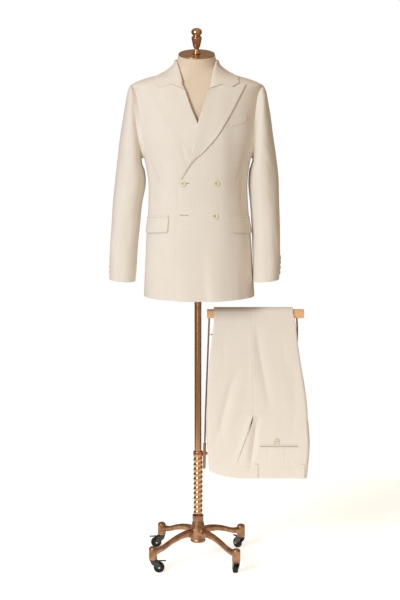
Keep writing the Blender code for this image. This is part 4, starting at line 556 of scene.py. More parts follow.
def cloth_wall(name, outer, inner):
    """A closed wall of cloth between two grids of points, its edge turned round. Gives the mesh
    and how it was cut: width, length and area."""
    outer, inner = np.asarray(outer, float), np.asarray(inner, float)
    rows, columns = outer.shape[:2]
    count = rows * columns
    index = np.arange(count).reshape(rows, columns)
    rim = np.concatenate([index[0], index[1:, -1], index[-1, -2::-1], index[-2:0:-1, 0]])
    within = (np.clip(rim // columns, 1, rows - 2) * columns + np.clip(rim % columns, 1, columns - 2))
    flat_out, flat_in = outer.reshape(-1, 3), inner.reshape(-1, 3)
    middle = (flat_out + flat_in) / 2
    thick = np.linalg.norm(flat_out[rim] - flat_in[rim], axis=1, keepdims=True)
    edge = middle[rim] + unit(middle[rim] - middle[within]) * thick * 0.35
    over = np.linalg.norm(np.diff(outer, axis=1), axis=-1)
    down = np.linalg.norm(np.diff(outer, axis=0), axis=-1)
    u = np.concatenate([np.zeros((rows, 1)), np.cumsum(over, axis=1)], axis=1)
    v = np.concatenate([np.zeros((1, columns)), np.cumsum(down, axis=0)], axis=0)
    u = u - u[:, columns // 2:columns // 2 + 1]
    cut = np.stack([u, v], axis=-1).reshape(-1, 2)
    faces = grid_faces(rows, columns)
    faces += [[count + i for i in face[::-1]] for face in faces]
    total = len(rim)
    for k in range(total):
        n = (k + 1) % total
        faces.append([int(rim[n]), int(rim[k]), 2 * count + k, 2 * count + n])
        faces.append([2 * count + n, 2 * count + k, count + int(rim[k]), count + int(rim[n])])
    mesh = mesh_from(name, np.concatenate([flat_out, flat_in, edge]), faces,
                     cut=np.concatenate([cut, cut, cut[rim]]))
    one, other = np.diff(outer, axis=1)[:-1], np.diff(outer, axis=0)[:, :-1]
    area = float(np.linalg.norm(np.cross(one, other), axis=-1).sum())
    return mesh, (float(over.sum(axis=1).max()), float(down.sum(axis=0).max()), area)


# ---------------------------------------------------------------- materials


def add(tree, kind, settings=None, links=None):
    """Adds one node, with its settings by socket or attribute and its links by socket."""
    made = tree.nodes.new(kind)
    for key, value in (settings or {}).items():
        if isinstance(key, int) or key in made.inputs:
            made.inputs[key].default_value = value
        else:
            setattr(made, key, value)
    for key, source in (links or {}).items():
        tree.links.new(source, made.inputs[key])
    return made


def made_once(name):
    """Turns a function that fills a shader into one that gives its material, made only once."""
    def named(fill):
        def given():
            made = bpy.data.materials.get(name)
            if made is None:
                made = bpy.data.materials.new(name)
                made.use_nodes = True
                fill(made.node_tree, made.node_tree.nodes["Principled BSDF"])
            return made
        return given
    return named


def settle(shader, values):
    for socket, value in values.items():
        shader.inputs[socket].default_value = value


def full(colour):
    return (*colour[:3], 1.0)


# One drawn band of a wave is this share of its scale: Blender's wave turns once in pi/10.
WAVE = math.pi / 10


def place_in(tree):
    return add(tree, "ShaderNodeTexCoord").outputs["Object"]


def cut_in(tree):
    return add(tree, "ShaderNodeUVMap", {"uv_map": "cut"}).outputs["UV"]


def measured(tree, place, *sizes):
    """A place counted in sizes along X, Y and Z, for marks longer one way than another."""
    return add(tree, "ShaderNodeMapping", {"Scale": tuple(1 / size for size in sizes)},
               {"Vector": place}).outputs[0]


def noise(tree, place, size, detail, roughness=0.5):
    return add(tree, "ShaderNodeTexNoise", {"Scale": 1 / size, "Detail": detail, "Roughness": roughness},
               {"Vector": place}).outputs["Fac"]


def bands(tree, place, way, apart, more=None):
    return add(tree, "ShaderNodeTexWave", {"bands_direction": way, "Scale": WAVE / apart, **(more or {})},
               {"Vector": place}).outputs["Fac"]


def ranged(tree, value, low, high, start=0.0, end=1.0):
    """A value from start to end as one from low to high, kept between them."""
    limits = {"From Min": start, "From Max": end, "To Min": low, "To Max": high}
    return add(tree, "ShaderNodeMapRange", limits, {"Value": value}).outputs[0]


def worked(tree, operation, one, other, clamped=False):
    return add(tree, "ShaderNodeMath", {"operation": operation, "use_clamp": clamped},
               {0: one, 1: other}).outputs[0]


def scaled(tree, colour, tone):
    """A plain colour made darker or lighter by a tone."""
    return add(tree, "ShaderNodeVectorMath", {"operation": "SCALE", 0: colour[:]}, {"Scale": tone}).outputs[0]


def two_tone(tree, share, one, other):
    colours = {"data_type": "RGBA", 6: full(one), 7: full(other)}
    return add(tree, "ShaderNodeMix", colours, {0: share}).outputs[2]


def feed(tree, shader, sources):
    for socket, source in sources.items():
        tree.links.new(source, shader.inputs[socket])


def relief(tree, height, strength, distance):
    amount = {"Strength": strength, "Distance": distance}
    return add(tree, "ShaderNodeBump", amount, {"Height": height}).outputs[0]


@made_once("woven_linen_silk")
def woven_linen(tree, shader):
    """Linen and silk suiting, plain weave: matt and warm, with slubs where a thread is thicker
    and a soft sheen at grazing angles."""
    suit = bpy.context.scene.suit_cloth
    settle(shader, {"Roughness": 0.82, "Sheen Weight": 0.18, "Sheen Roughness": 0.45,
                    "Sheen Tint": full(suit.linen), "Specular IOR Level": 0.25})
    cut = cut_in(tree)
    # Real slubs are half a millimetre wide, too fine to show: drawn 3 mm wide and 90 mm long.
    slubs = worked(tree, "MAXIMUM", *[noise(tree, measured(tree, cut, *sizes), 1.0, 3.0, 0.55)
                                      for sizes in ((0.003, 0.09, 1.0), (0.07, 0.003, 1.0))])
    # Dye takes unevenly over a hand's width.
    tone = ranged(tree, noise(tree, cut, 0.11, 2.0), 0.965, 1.035)
    dyed = two_tone(tree, ranged(tree, slubs, 0.0, 0.5, 0.6, 0.8), suit.linen, suit.slub)
    toned = add(tree, "ShaderNodeVectorMath", {"operation": "SCALE"}, {0: dyed, "Scale": tone})
    # A real thread every 0.45 mm would vanish, so the threads are drawn at the weave's pitch.
    waver = {"Distortion": 0.6, "Detail": 1.0, "Detail Scale": 2.0}
    crossing = worked(tree, "MULTIPLY", *[bands(tree, cut, way, suit.weave, waver) for way in "XY"])
    feed(tree, shader, {"Base Color": toned.outputs[0],
                        "Normal": relief(tree, worked(tree, "ADD", crossing, slubs), 0.35, 0.00018)})


@made_once("stretched_calico")
def stretched_calico(tree, shader):
    """Unbleached calico glued over a moulded shell: a flat, chalky cream with a close weave."""
    settle(shader, {"Roughness": 0.88, "Sheen Weight": 0.1, "Specular IOR Level": 0.2})
    cut = cut_in(tree)
    # Calico's thread is 0.3 mm: drawn at 1 mm.
    crossing = worked(tree, "MULTIPLY", *[bands(tree, cut, way, 0.001) for way in "XY"])
    # Seed flecks of a millimetre or two, and handling marks a hand wide.
    marks = add(tree, "ShaderNodeMath", {"operation": "MULTIPLY_ADD", 1: 0.35},
                {0: noise(tree, cut, 0.002, 2.0), 2: noise(tree, cut, 0.09, 3.0)})
    tone = ranged(tree, marks.outputs[0], 1.02, 0.93, 0.4, 1.0)
    feed(tree, shader, {"Base Color": scaled(tree, bpy.context.scene.suit_cloth.calico, tone),
                        "Normal": relief(tree, crossing, 0.3, 0.00012)})


@made_once("twisted_silk_thread")
def twisted_thread(tree, shader):
    """Silk buttonhole thread: a close twist that shines a little more than the cloth."""
    settle(shader, {"Roughness": 0.55, "Sheen Weight": 0.2})
    # Stitches lie every 0.5 mm.
    twist = bands(tree, place_in(tree), "DIAGONAL", 0.0005)
    tone = ranged(tree, twist, 0.8, 1.05)
    feed(tree, shader, {"Base Color": scaled(tree, bpy.context.scene.suit_cloth.thread, tone),
                        "Normal": relief(tree, twist, 0.5, 0.0001)})


@made_once("painted_shade_pocket_mouth")
def pocket_mouth_shade(tree, shader):
    """Painted shade for a pocket's mouth: twilled cotton, dark brown to stand for the shade inside the pocket."""
    settle(shader, {"Roughness": 0.95, "Specular IOR Level": 0.1})
    twill = bands(tree, place_in(tree), "DIAGONAL", 0.001)
    # Dark browns painted as the shade in a pocket's mouth.
    feed(tree, shader, {"Base Color": two_tone(tree, twill, linear("#3A2F26"), linear("#5A4A3C"))})


@made_once("polished_horn")
def polished_horn(tree, shader):
    """Pale horn, turned and polished: cream with a yellow heart, streaks along the horn's
    growth and a clear gloss."""
    suit = bpy.context.scene.suit_cloth
    settle(shader, {"Roughness": 0.26, "IOR": 1.54, "Coat Weight": 0.25, "Coat Roughness": 0.08,
                    "Subsurface Weight": 0.05, "Subsurface Scale": 0.002})
    # Growth streaks a millimetre wide and a centimetre long.
    streak = noise(tree, measured(tree, place_in(tree), 0.01, 0.01, 0.0012), 1.0, 3.0)
    # The dished middle is cut deeper into the horn, where it is darker: the unwrap tells how far
    # a point lies from the button's middle.
    reach = add(tree, "ShaderNodeVectorMath", {"operation": "LENGTH"}, {0: cut_in(tree)})
    both = worked(tree, "ADD", ranged(tree, streak, 0.0, 0.55, 0.35, 0.7),
                  ranged(tree, reach.outputs["Value"], 0.0, 0.7, 0.45, 0.3), clamped=True)
    feed(tree, shader, {"Base Color": two_tone(tree, both, suit.horn, suit.heart)})


@made_once("satin_copper_plate")
def satin_copper(tree, shader):
    """Steel tube plated with copper and satin polished: rosy metal with long soft highlights and
    a faint grain round the tube from polishing."""
    plate = bpy.context.scene.suit_stand.copper
    settle(shader, {"Metallic": 1.0})
    place = place_in(tree)
    cloud = noise(tree, place, 0.04, 3.0)
    warm = tuple(c * k for c, k in zip(plate, (0.86, 0.76, 0.7)))
    # Polishing lines lie across the tube, a third of a millimetre apart: drawn at 1 mm.
    line = noise(tree, measured(tree, place, 0.02, 0.02, 0.001), 1.0, 2.0)
    feed(tree, shader, {"Base Color": two_tone(tree, ranged(tree, cloud, 0.0, 0.6, 0.35, 0.75), plate, warm),
                        "Roughness": ranged(tree, cloud, 0.16, 0.28),
                        "Normal": relief(tree, line, 0.15, 0.0001)})


@made_once("aged_cast_copper")
def aged_cast_copper(tree, shader):
    """A copper-plated iron casting that has darkened: a fine sand-cast skin with brown patches
    and brighter metal where hands have rubbed it."""
    stand = bpy.context.scene.suit_stand
    settle(shader, {"Metallic": 1.0})
    place = place_in(tree)
    patch = noise(tree, place, 0.022, 4.0, 0.6)
    share = ranged(tree, patch, 0.0, 0.85, 0.38, 0.66)
    # Casting sand leaves grains of 0.3 mm: drawn at 1.2 mm.
    sand = noise(tree, place, 0.0012, 2.0)
    feed(tree, shader, {"Base Color": two_tone(tree, share, stand.cast, stand.patina),
                        "Roughness": ranged(tree, patch, 0.3, 0.52),
                        "Normal": relief(tree, sand, 0.3, 0.0002)})


@made_once("varnished_beech")
def varnished_beech(tree, shader):
    """Planed beech under clear varnish: pinkish tan, straight grain along the bar, short dark
    rays and a low gloss."""
    stand = bpy.context.scene.suit_stand
    settle(shader, {"Roughness": 0.42, "Coat Weight": 0.3, "Coat Roughness": 0.18})
    place = place_in(tree)
    # Growth rings show as bands 3 mm wide and a hand long, and rays as flecks 4 mm by 0.5 mm,
    # drawn at 1 mm.
    ring = noise(tree, measured(tree, place, 0.16, 0.003, 0.003), 1.0, 4.0, 0.6)
    ray = noise(tree, measured(tree, place, 0.004, 0.001, 0.001), 1.0, 1.0)
    dark = worked(tree, "MAXIMUM", ranged(tree, ring, 0.0, 0.8, 0.4, 0.7),
                  ranged(tree, ray, 0.0, 0.5, 0.62, 0.72))
    feed(tree, shader, {"Base Color": two_tone(tree, dark, stand.beech, stand.grain),
                        "Normal": relief(tree, ring, 0.2, 0.0001)})


@made_once("stoving_enamel_and_painted_shade")
def enamel_and_painted_shade(tree, shader):
    """Pressed steel dipped in black stoving enamel: a deep gloss with a slight orange peel. The same black is laid
    as painted shade in buttonhole slits and button holes.
    """
    settle(shader, {"Base Color": full(bpy.context.scene.suit_stand.enamel), "Coat Weight": 0.3,
                    "Coat Roughness": 0.1})
    peel = noise(tree, place_in(tree), 0.0015, 2.0)
    feed(tree, shader, {"Roughness": ranged(tree, peel, 0.26, 0.42),
                        "Normal": relief(tree, peel, 0.2, 0.0001)})


@made_once("moulded_rubber")
def moulded_rubber(tree, shader):
    """Black rubber tread, moulded: matt, with dust in its pores."""
    settle(shader, {"Specular IOR Level": 0.3})
    dust = noise(tree, place_in(tree), 0.004, 4.0)
    dusty = two_tone(tree, ranged(tree, dust, 0.0, 0.25, 0.45, 0.8), bpy.context.scene.suit_stand.rubber,
                     linear("#5A5650"))
    feed(tree, shader, {"Base Color": dusty, "Roughness": ranged(tree, dust, 0.55, 0.8)})


@made_once("zinc_plated_steel")
def zinc_steel(tree, shader):
    """Zinc-plated axle heads: small, pale and satin."""
    settle(shader, {"Base Color": full(linear("#C6C4BE")), "Metallic": 1.0})
    feed(tree, shader, {"Roughness": ranged(tree, noise(tree, place_in(tree), 0.001, 2.0), 0.25, 0.45)})


@made_once("matt_white_floor")
def painted_floor(tree, shader):
    """Painted board: white, with the slight unevenness of a roller every few centimetres."""
    white = full(bpy.context.scene.suit_studio.floor)
    settle(shader, {"Base Color": white, "Emission Color": white, "Emission Strength": 0.56})
    feed(tree, shader, {"Roughness": ranged(tree, noise(tree, place_in(tree), 0.03, 2.0), 0.8, 0.95)})


# ---------------------------------------------------------------- pieces


def piece(name, mesh, material, body="mast", nodes=()):
    """A named piece in its place, riding on its body."""
    made = bpy.data.objects.new(name, mesh)
    bpy.context.scene.collection.objects.link(made)
    mesh.materials.append(material)
    if nodes:
        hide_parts(*nodes)
    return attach(made, body)


def cloth(part, grids, nodes=None):
    """A piece of the suit's cloth. It stands for the node of its own name unless others are given."""
    mesh, (width, length, area) = cloth_wall("cloth_" + part, *grids)
    made = piece("cloth_" + part, mesh, woven_linen(),
                 nodes=(part,) if nodes is None else nodes)
    return made


def hard(name, shape, material, body="mast", nodes=(), sharp=35):
    """A piece that isn't cloth, from points and faces."""
    return piece(name, mesh_from(name, *shape, weld=True, sharp=sharp), material, body, nodes)


def copper(name, shape, node, sharp=35):
    return hard("copper_" + name, shape, satin_copper(), nodes=(node,), sharp=sharp)


def on_cloth(name, shape, material):
    """A soft-edged trifle on the cloth: thread, and the dark strips painted as shade in slits and pockets' mouths.
    """
    return hard(name, shape, material, sharp=None)


# ---------------------------------------------------------------- the jacket's surface


def ring_points(rows, angle, z, out):
    """Points round a table of sections, moved out along the surface's normal. Angle 0 is the
    front, 90 the wearer's left and 180 the back."""
    angle, z, out = np.broadcast_arrays(np.asarray(angle, float), np.asarray(z, float),
                                        np.asarray(out, float))
    turn = np.radians(angle)
    front = np.cos(turn) > 0
    square = read(rows, "square", z)

    def half(at):
        return (read(rows, "half_width", at),
                np.where(front, read(rows, "front", at), read(rows, "back", at)))

    a, b = half(z)
    x = a * power(np.sin(turn), 2 / square)
    y = -b * power(np.cos(turn), 2 / square)
    step = 0.001
    (a_up, b_up), (a_down, b_down) = half(z + step), half(z - step)
    u, v = np.abs(x / a), np.abs(y / b)
    normal = np.stack([np.sign(x) * u ** (square - 1) / a, np.sign(y) * v ** (square - 1) / b,
                       -(u**square) * (a_up - a_down) / (2 * step) / a
                       - (v**square) * (b_up - b_down) / (2 * step) / b], axis=-1)
    return np.stack([x + read(LEAN, "x", z), y, z], axis=-1) + unit(normal) * out[..., None]


def crumpled(lines, angle, z):
    """The height that crossing fold lines give at places by angle and height."""
    total = np.zeros(np.broadcast(angle, z).shape)
    for line in lines:
        t = (line.top_z - z) / (line.top_z - line.low_z)
        along = np.sin(math.pi * np.clip(t, 0.0, 1.0)) ** 0.8
        if line.low_z < HEM_Z:
            along = ease(t * 1.6)
        at = mix(line.top_angle, line.low_angle, t)
        total = total + line.depth * along * np.exp(-((angle - at) / line.spread) ** 2)
    return total


def body_folds(angle, z):
    total = np.zeros(np.broadcast(angle, z).shape)
    for fold in BODY_FOLDS:
        around = np.exp(-((angle - fold.angle) / fold.spread) ** 2)
        middle = (fold.low + fold.high) / 2
        along = np.maximum(0.0, 1.0 - ((z - middle) / (fold.high - middle)) ** 2)
        if fold.low < HEM_Z:
            along = 1.0 - ease((z - HEM_Z) / (fold.high - HEM_Z))
        total = total + fold.depth * around * along
    turn = np.radians(angle)
    calm = 1.0 - ease((z - 1.4) / 0.12)
    ripple = (np.sin(5 * turn + 21 * z) * np.sin(33 * z + 2 * turn)
              + np.sin(11 * turn - 14 * z + 1.0)) * 0.00018
    strength = bpy.context.scene.suit_cloth.crumple
    return total + (crumpled(BODY_CRUMPLES, angle, z) + ripple * calm) * strength


def hem_belly(angle, z):
    """How far the fronts' hem hangs lower in the middle than at the side seams."""
    return HEM_BELLY * ease((1.02 - z) / 0.12) * np.exp(-((angle - 2.0) / 34.0) ** 2)


def body_points(angle, z, out):
    drop = np.array([0.0, 0.0, 1.0]) * hem_belly(angle, z)[..., None]
    return ring_points(BODY, angle, z, out + body_folds(angle, z)) - drop


def front_angle(x, z):
    """Where the body's section at a height reaches a given X in front, in degrees."""
    a, square = read(BODY, "half_width", z), read(BODY, "square", z)
    return np.degrees(np.arcsin(power(np.minimum(np.abs(x) / a, 1.0), square / 2))) * np.sign(x)


def lap_lift(x, z):
    return read(LAP, "lift", z) * (1.0 - ease((x - LAP_FULL_X) / (LAP_END_X - LAP_FULL_X)))


def panel_lift(side, angle, z):
    """The lift of whichever front lies on a side's chest at an angle."""
    if side < 0:
        return np.zeros(np.broadcast(angle, z).shape)
    a, square = read(BODY, "half_width", z), read(BODY, "square", z)
    x = a * power(np.sin(np.radians(angle)), 2 / square)
    return np.where(angle < 90, lap_lift(x, z), 0.0)


def front_edge(side, z):
    return read(EDGE, "left" if side > 0 else "right", z)


def side_limit(z, field):
    """The angle where a front or a back ends: its side seam, the armhole, the shoulder."""
    arm = np.where(z < SHOULDER_Z, read(ARMHOLE, field, z), SHOULDER_SEAM)
    return np.where(z < PANEL_TOP_ARM_Z, FRONT_SEAM if field == "front" else BACK_SEAM, arm)


def seam_dip(distance):
    """How far cloth is drawn in beside a seam, by the distance to it in metres."""
    return -bpy.context.scene.suit_cloth.seam_dip * np.exp(-(distance / 0.0024) ** 2)


def panel_levels():
    """Heights of a panel's rows: closer where the shoulder slopes."""
    low = HEM_Z + steps(1.5 - HEM_Z, 0.006) * (1.5 - HEM_Z)
    high = 1.56 + steps(NECK_SEAM_Z - 1.56, 0.0012, (0.0003, 0.0008)) * (NECK_SEAM_Z - 1.56)
    return np.concatenate([low[:-4], np.linspace(1.5, 1.558, 22), high[3:]])


def wall_on_body(angle, z, lift, wall=JACKET_WALL):
    return body_points(angle, z, lift), body_points(angle, z, lift - wall)


def front_grid(side):
    z = panel_levels()[:, None]
    start = front_angle(front_edge(side, z), z)
    end = side_limit(z, "front") - SEAM
    angle = start + (end - start) * steps(0.3, 0.0045)
    faint = 1.0 - 0.7 * ease((z - 1.3) / 0.05)
    lift = panel_lift(side, angle, z) + faint * seam_dip(np.radians(end - angle) * BODY_REACH)
    lift = lift + 0.0005 * np.exp(-(np.radians(angle - start) * BODY_REACH / 0.004) ** 2) * (z < 1.26)
    return wall_on_body(side * angle, z + 0 * angle, lift)


def back_grid(side):
    z = panel_levels()[:, None]
    start, end = side_limit(z, "back") + SEAM, 180.0 - SEAM
    angle = start + (end - start) * steps(0.24, 0.005)
    lift = (seam_dip(np.radians(angle - start) * BODY_REACH)
            + seam_dip(np.radians(end - angle) * BODY_REACH))
    return wall_on_body(side * angle, z + 0 * angle, lift)


def side_grid(side):
    """The panel under the arm; its top follows the bottom of the armhole."""
    s = steps(0.13, 0.005)[None, :]
    t = steps(0.45, 0.006)[:, None]
    angle = mix(FRONT_SEAM + SEAM, BACK_SEAM - SEAM, s)
    top = mix(PANEL_TOP_ARM_Z, ARMPIT_Z, 1.0 - np.abs(np.abs(s - 0.5) * 2.0) ** 2.2)
    z = mix(HEM_Z, top, t)
    lift = seam_dip(np.minimum(s, 1.0 - s) * 0.13) + 0 * z
    return wall_on_body(side * (angle + 0 * z), z, lift)


# ---------------------------------------------------------------- lapels and collar


def along_stops(stops, s):
    """X and height along straight lines between stops."""
    at = [stop[0] for stop in stops]
    return (np.interp(s, at, [stop[1][0] for stop in stops]),
            np.interp(s, at, [stop[1][1] for stop in stops]))


def gorge_place(side, s):
    start = (float(front_edge(side, GORGE_ROLL_Z)), GORGE_ROLL_Z)
    return along_stops([(0.0, start), (0.42, GORGE_MIDDLE), (0.73, NOTCH), (1.0, LAPEL_TIP)], s)


def chest_points(side, x, z, out):
    angle = front_angle(x, z)
    return body_points(side * angle, z, out + panel_lift(side, angle, z))


def lapel_grid(side):
    """The front's facing turned over at the roll: a wrap round the roll, then the leaf."""
    t = steps(0.3, 0.004)[:, None]
    roll_z = mix(LAPEL[0].roll_z, LAPEL[-1].roll_z, t)
    roll_x = front_edge(side, roll_z)
    slope = (front_edge(side, roll_z + 0.004) - front_edge(side, roll_z - 0.004)) / 0.008
    along_x, along_z = 1.0 / np.hypot(1.0, slope), -slope / np.hypot(1.0, slope)
    proud = (0.003 if side > 0 else 0.0024) * ease((roll_z - (1.28 if side > 0 else 1.47)) / 0.05)
    half = JACKET_WALL / 2
    turn = np.radians(np.concatenate([[90.0, 90.0], np.linspace(84.0, 8.0, 9)]))[None, :]
    tuck = np.concatenate([[0.0012, 0.0], np.zeros(9)])[None, :]
    inward = 0.0008 - 0.0025 * np.sin(turn)
    height = 0.0002 + (0.0024 + proud) * np.cos(turn) - tuck
    wrap = []
    for sign in (1, -1):
        shift = sign * half
        x = roll_x + along_x * (inward - shift * np.sin(turn))
        z = roll_z + along_z * (inward - shift * np.sin(turn))
        wrap.append(chest_points(side, x, z, height + shift * np.cos(turn)))
    marks = [np.linspace(0.03, 1.0, 30), [0.42, 0.73, 0.985, 0.993]]
    s = np.unique(np.round(np.concatenate(marks), 4))[None, :]
    edge_x, edge_z = read(LAPEL, "edge_x", roll_z), read(LAPEL, "edge_z", roll_z)
    top_x, top_z = gorge_place(side, s)
    share = np.maximum(0.0, (t - 0.55) / 0.45) ** 2.5
    x = mix(mix(roll_x, edge_x, s), top_x, share)
    z = mix(mix(roll_z, edge_z, s), top_z - 0.0001, share)
    away = np.hypot(x - roll_x, z - roll_z)
    width = np.hypot(edge_x - roll_x, edge_z - roll_z)
    rest = LAPEL_LAYER + half
    lift = rest + proud * (1.0 - ease(away / np.minimum(0.045, width + 1e-6)))
    lift = np.maximum(lift, mix(0.0026 + proud, rest, ease(away / 0.01)))
    spring = LAPEL_SPRING if side > 0 else 0.3 * LAPEL_SPRING
    lift = lift + spring * ease((s - 0.8) / 0.2) * ease(t / 0.2)
    press = -0.0003 * np.exp(-(((1.0 - s) * width - 0.0022) / 0.0012) ** 2)
    outer = np.concatenate([wrap[0], chest_points(side, x, z, lift + half + press)], axis=1)
    inner = np.concatenate([wrap[1], chest_points(side, x, z, lift - half)], axis=1)
    return outer, inner


def collar_half(side):
    """Half the collar's stations, from the gorge to the middle of the back: where its fold and
    leaf lie, by angle and height."""
    s = np.unique(np.concatenate([np.linspace(0.0, 1.0, 19), [0.54, 0.78, 0.985]]))
    start = (float(front_edge(side, GORGE_ROLL_Z + 0.002)), GORGE_ROLL_Z + 0.002)
    x, z = along_stops([(0.0, start), (0.54, GORGE_MIDDLE), (0.78, NOTCH), (1.0, COLLAR_TIP)], s)
    angles, heights = [front_angle(x, z)], [z + 0.0002]
    marks = [row.fold_angle for row in COLLAR]
    for step in np.linspace(0.0, 7.0, 85):
        mark = np.interp(step, range(8), marks)
        fold_z, edge_z = read(COLLAR, "fold_z", mark), read(COLLAR, "edge_z", mark)
        edge = read(COLLAR, "edge_angle", mark)
        on_front = front_angle(front_edge(side, min(fold_z, EDGE_TOP_Z)), fold_z)
        fold = max(mark, on_front)
        angles.append(mix(fold, edge, s))
        heights.append(mix(fold_z, edge_z, s))
    near = np.array([0.0, 0.03, 0.08, 0.18, 0.36, 0.58, 0.8])[:, None]
    first_angle, first_z = mix(angles[0], angles[1], near), mix(heights[0], heights[1], near)
    return (s, np.concatenate([first_angle, np.array(angles[1:])]),
            np.concatenate([first_z, np.array(heights[1:])]))


def collar_grid():
    """The leaf over its stand, one piece from gorge to gorge, turned over at the fold."""
    s, right_angle, right_z = collar_half(-1)
    _, left_angle, left_z = collar_half(1)
    side = np.concatenate([-np.ones(len(right_angle)), np.ones(len(left_angle) - 1)])[:, None]
    angle = np.concatenate([right_angle, left_angle[-2::-1]])
    z = np.concatenate([right_z, left_z[-2::-1]])
    fold_angle, fold_z = angle[:, :1], z[:, :1]
    lift = np.where(side > 0, panel_lift(1, fold_angle, fold_z), 0.0)
    half = JACKET_WALL / 2
    stands = ease((fold_z - NECK_SEAM_Z - 0.002) / 0.012)
    low_z = np.maximum(NECK_SEAM_Z + 0.0006, fold_z - 0.03)
    rise = np.linspace(0.0, 1.0, 6)[None, :]
    turn = np.radians(np.linspace(0.0, 172.0, 14))[None, :]
    tuck = np.radians(np.linspace(90.0, 8.0, 14))[None, :]
    outer_rows = []
    for sign in (1, -1):
        shift = sign * half
        # Where there is a stand: straight up it, then over the fold.
        stand_out = np.concatenate([0 * rise - half - shift + 0 * fold_z,
                                    0.0019 - (0.0027 + shift) * np.cos(turn) + 0 * fold_z], axis=1)
        stand_z = np.concatenate([mix(low_z, fold_z - 0.003, rise),
                                  fold_z - 0.003 + (0.0032 + shift) * np.sin(turn)], axis=1)
        stand_angle = fold_angle + 0 * stand_z
        # Where there is none: round the roll, as the lapel below it.
        inward = np.concatenate([0 * rise - 0.0017 - shift + 0 * fold_z,
                                 0.0008 - (0.0025 + shift) * np.sin(tuck) + 0 * fold_z], axis=1)
        bare_out = np.concatenate([mix(-0.001, 0.0001, rise) + 0 * fold_z,
                                   0.0002 + (0.0038 + shift) * np.cos(tuck) + 0 * fold_z], axis=1)
        level = np.minimum(fold_z, EDGE_TOP_Z)
        roll_x = np.where(side > 0, front_edge(1, level), front_edge(-1, level))
        bare_angle = front_angle(roll_x + inward, fold_z) - front_angle(roll_x, fold_z) + fold_angle
        wrap = body_points(side * mix(bare_angle, stand_angle, stands),
                           mix(fold_z + 0 * stand_z, stand_z, stands),
                           mix(bare_out, stand_out, stands) + lift)
        under = np.where(side > 0, panel_lift(1, angle[:, 1:], z[:, 1:]), 0.0)
        width = np.radians(angle[:, -1:] - fold_angle) * 0.09 + (fold_z - z[:, -1:])
        away = s[None, 1:] * np.abs(width)
        rolled = LAPEL_LAYER + (0.0027 + 0.0003 * side) * (1.0 - ease(away / 0.045))
        turned = COLLAR_LAYER + 0.0026 * (1.0 - ease(away / 0.018))
        rest = half + mix(rolled, turned, stands)
        leaf = body_points(side * angle[:, 1:], z[:, 1:], under + rest + shift)
        outer_rows.append(np.concatenate([wrap, leaf], axis=1))
    return outer_rows[0], outer_rows[1]


# ---------------------------------------------------------------- pockets, buttons, holes


def flap_place(s):
    start = front_angle(FLAP_FRONT_X, FLAP_FRONT_Z)
    return mix(start, FLAP_BACK_ANGLE, s), mix(FLAP_FRONT_Z, FLAP_BACK_Z, s)


def laid(side, angle, z, low, high):
    """Outer and inner points of a flat piece laid on the panel."""
    lift = panel_lift(side, angle, z)
    return body_points(side * angle, z, lift + high), body_points(side * angle, z, lift + low)


def flap_grid(side):
    s, t = steps(FLAP_WIDTH, 0.0022)[None, :], steps(FLAP_HEIGHT, 0.0022)[:, None]
    angle, z = flap_place(s)
    end = np.minimum(s, 1.0 - s) * FLAP_WIDTH
    within = np.maximum(0.0, FLAP_CORNER - end) / FLAP_CORNER
    corner = FLAP_CORNER * (1.0 - np.sqrt(np.maximum(0.0, 1.0 - within ** 2)))
    z = z - (FLAP_HEIGHT - corner) * t
    hang = 0.0022 * ease(t) + 0.0005 * np.sin(s * 7.0 + side) * t
    hang = hang + 0.0006 * ease((0.02 - s * FLAP_WIDTH) / 0.02) * ease(t * 3.0)
    press = -0.0003 * np.exp(-((np.minimum(end, (1.0 - t) * FLAP_HEIGHT) - 0.0025) / 0.0012) ** 2)
    return laid(side, angle + 0 * z, z, LAYER + hang, LAYER + hang + JACKET_WALL + press)


def jet_grid(side):
    s, t = steps(FLAP_WIDTH, 0.003)[None, :], np.linspace(0.0, 1.0, 13)[:, None]
    angle, z = flap_place(s)
    swell = 0.0012 * np.sqrt(np.maximum(0.0, 1.0 - (2.0 * t - 1.0) ** 2))
    return laid(side, angle + 0 * t, z + 0.0006 + JET_HEIGHT * t, LAYER + 0 * s * t,
                LAYER + 0.0006 + swell + 0 * s)


def welt_grid():
    s, t = steps(0.06, 0.0025)[None, :], steps(WELT["height"], 0.0025)[:, None]
    x, z = mix(WELT["inner_x"], WELT["outer_x"], s), mix(WELT["inner_z"], WELT["outer_z"], s)
    angle = front_angle(x, z)
    z = z - WELT["height"] * t
    return laid(1, angle + 0 * z, z, LAYER + 0 * z, LAYER + 0.0014 - 0.0006 * ease(t) + 0 * z)


def button_shape(radius, thick):
    """A four-hole button with a turned rim and a dished middle."""
    outline = rounded([(0.0, 0.0), (radius * 0.84, 0.0), (radius, thick * 0.55),
                       (radius * 0.97, thick * 0.86), (radius * 0.86, thick), (radius * 0.74, thick * 0.97),
                       (radius * 0.64, thick * 0.72), (0.0, thick * 0.62)], radius * 0.06)
    return lathe(outline, 40)


def thread_shape(radius, thick):
    """The cross of thread through a button's holes."""
    reach, high = radius * 0.22, thick * 0.62
    shapes = []
    for way in (1, -1):
        line = [(reach * share, reach * way * share, high + rise) for share, rise in
                ((-1.0, -0.0004), (-0.8, 0.0003), (0.0, 0.0005), (0.8, 0.0003), (1.0, -0.0004))]
        shapes.append(tube(smooth_line(line, 10), radius * 0.055, 8))
    return merged(*shapes)


# Dark discs painted as the shade in a button's four holes.
def painted_shade_holes_shape(radius, thick):
    reach, high = radius * 0.22, thick * 0.62
    ring = [(0.0, -0.00012), (radius * 0.085, -0.00012), (radius * 0.085, 0.00006), (0.0, 0.00006)]
    return merged(*[moved(lathe(ring, 14), Matrix.Translation((reach * x, reach * y, high)))
                    for x in (-1, 1) for y in (-1, 1)])


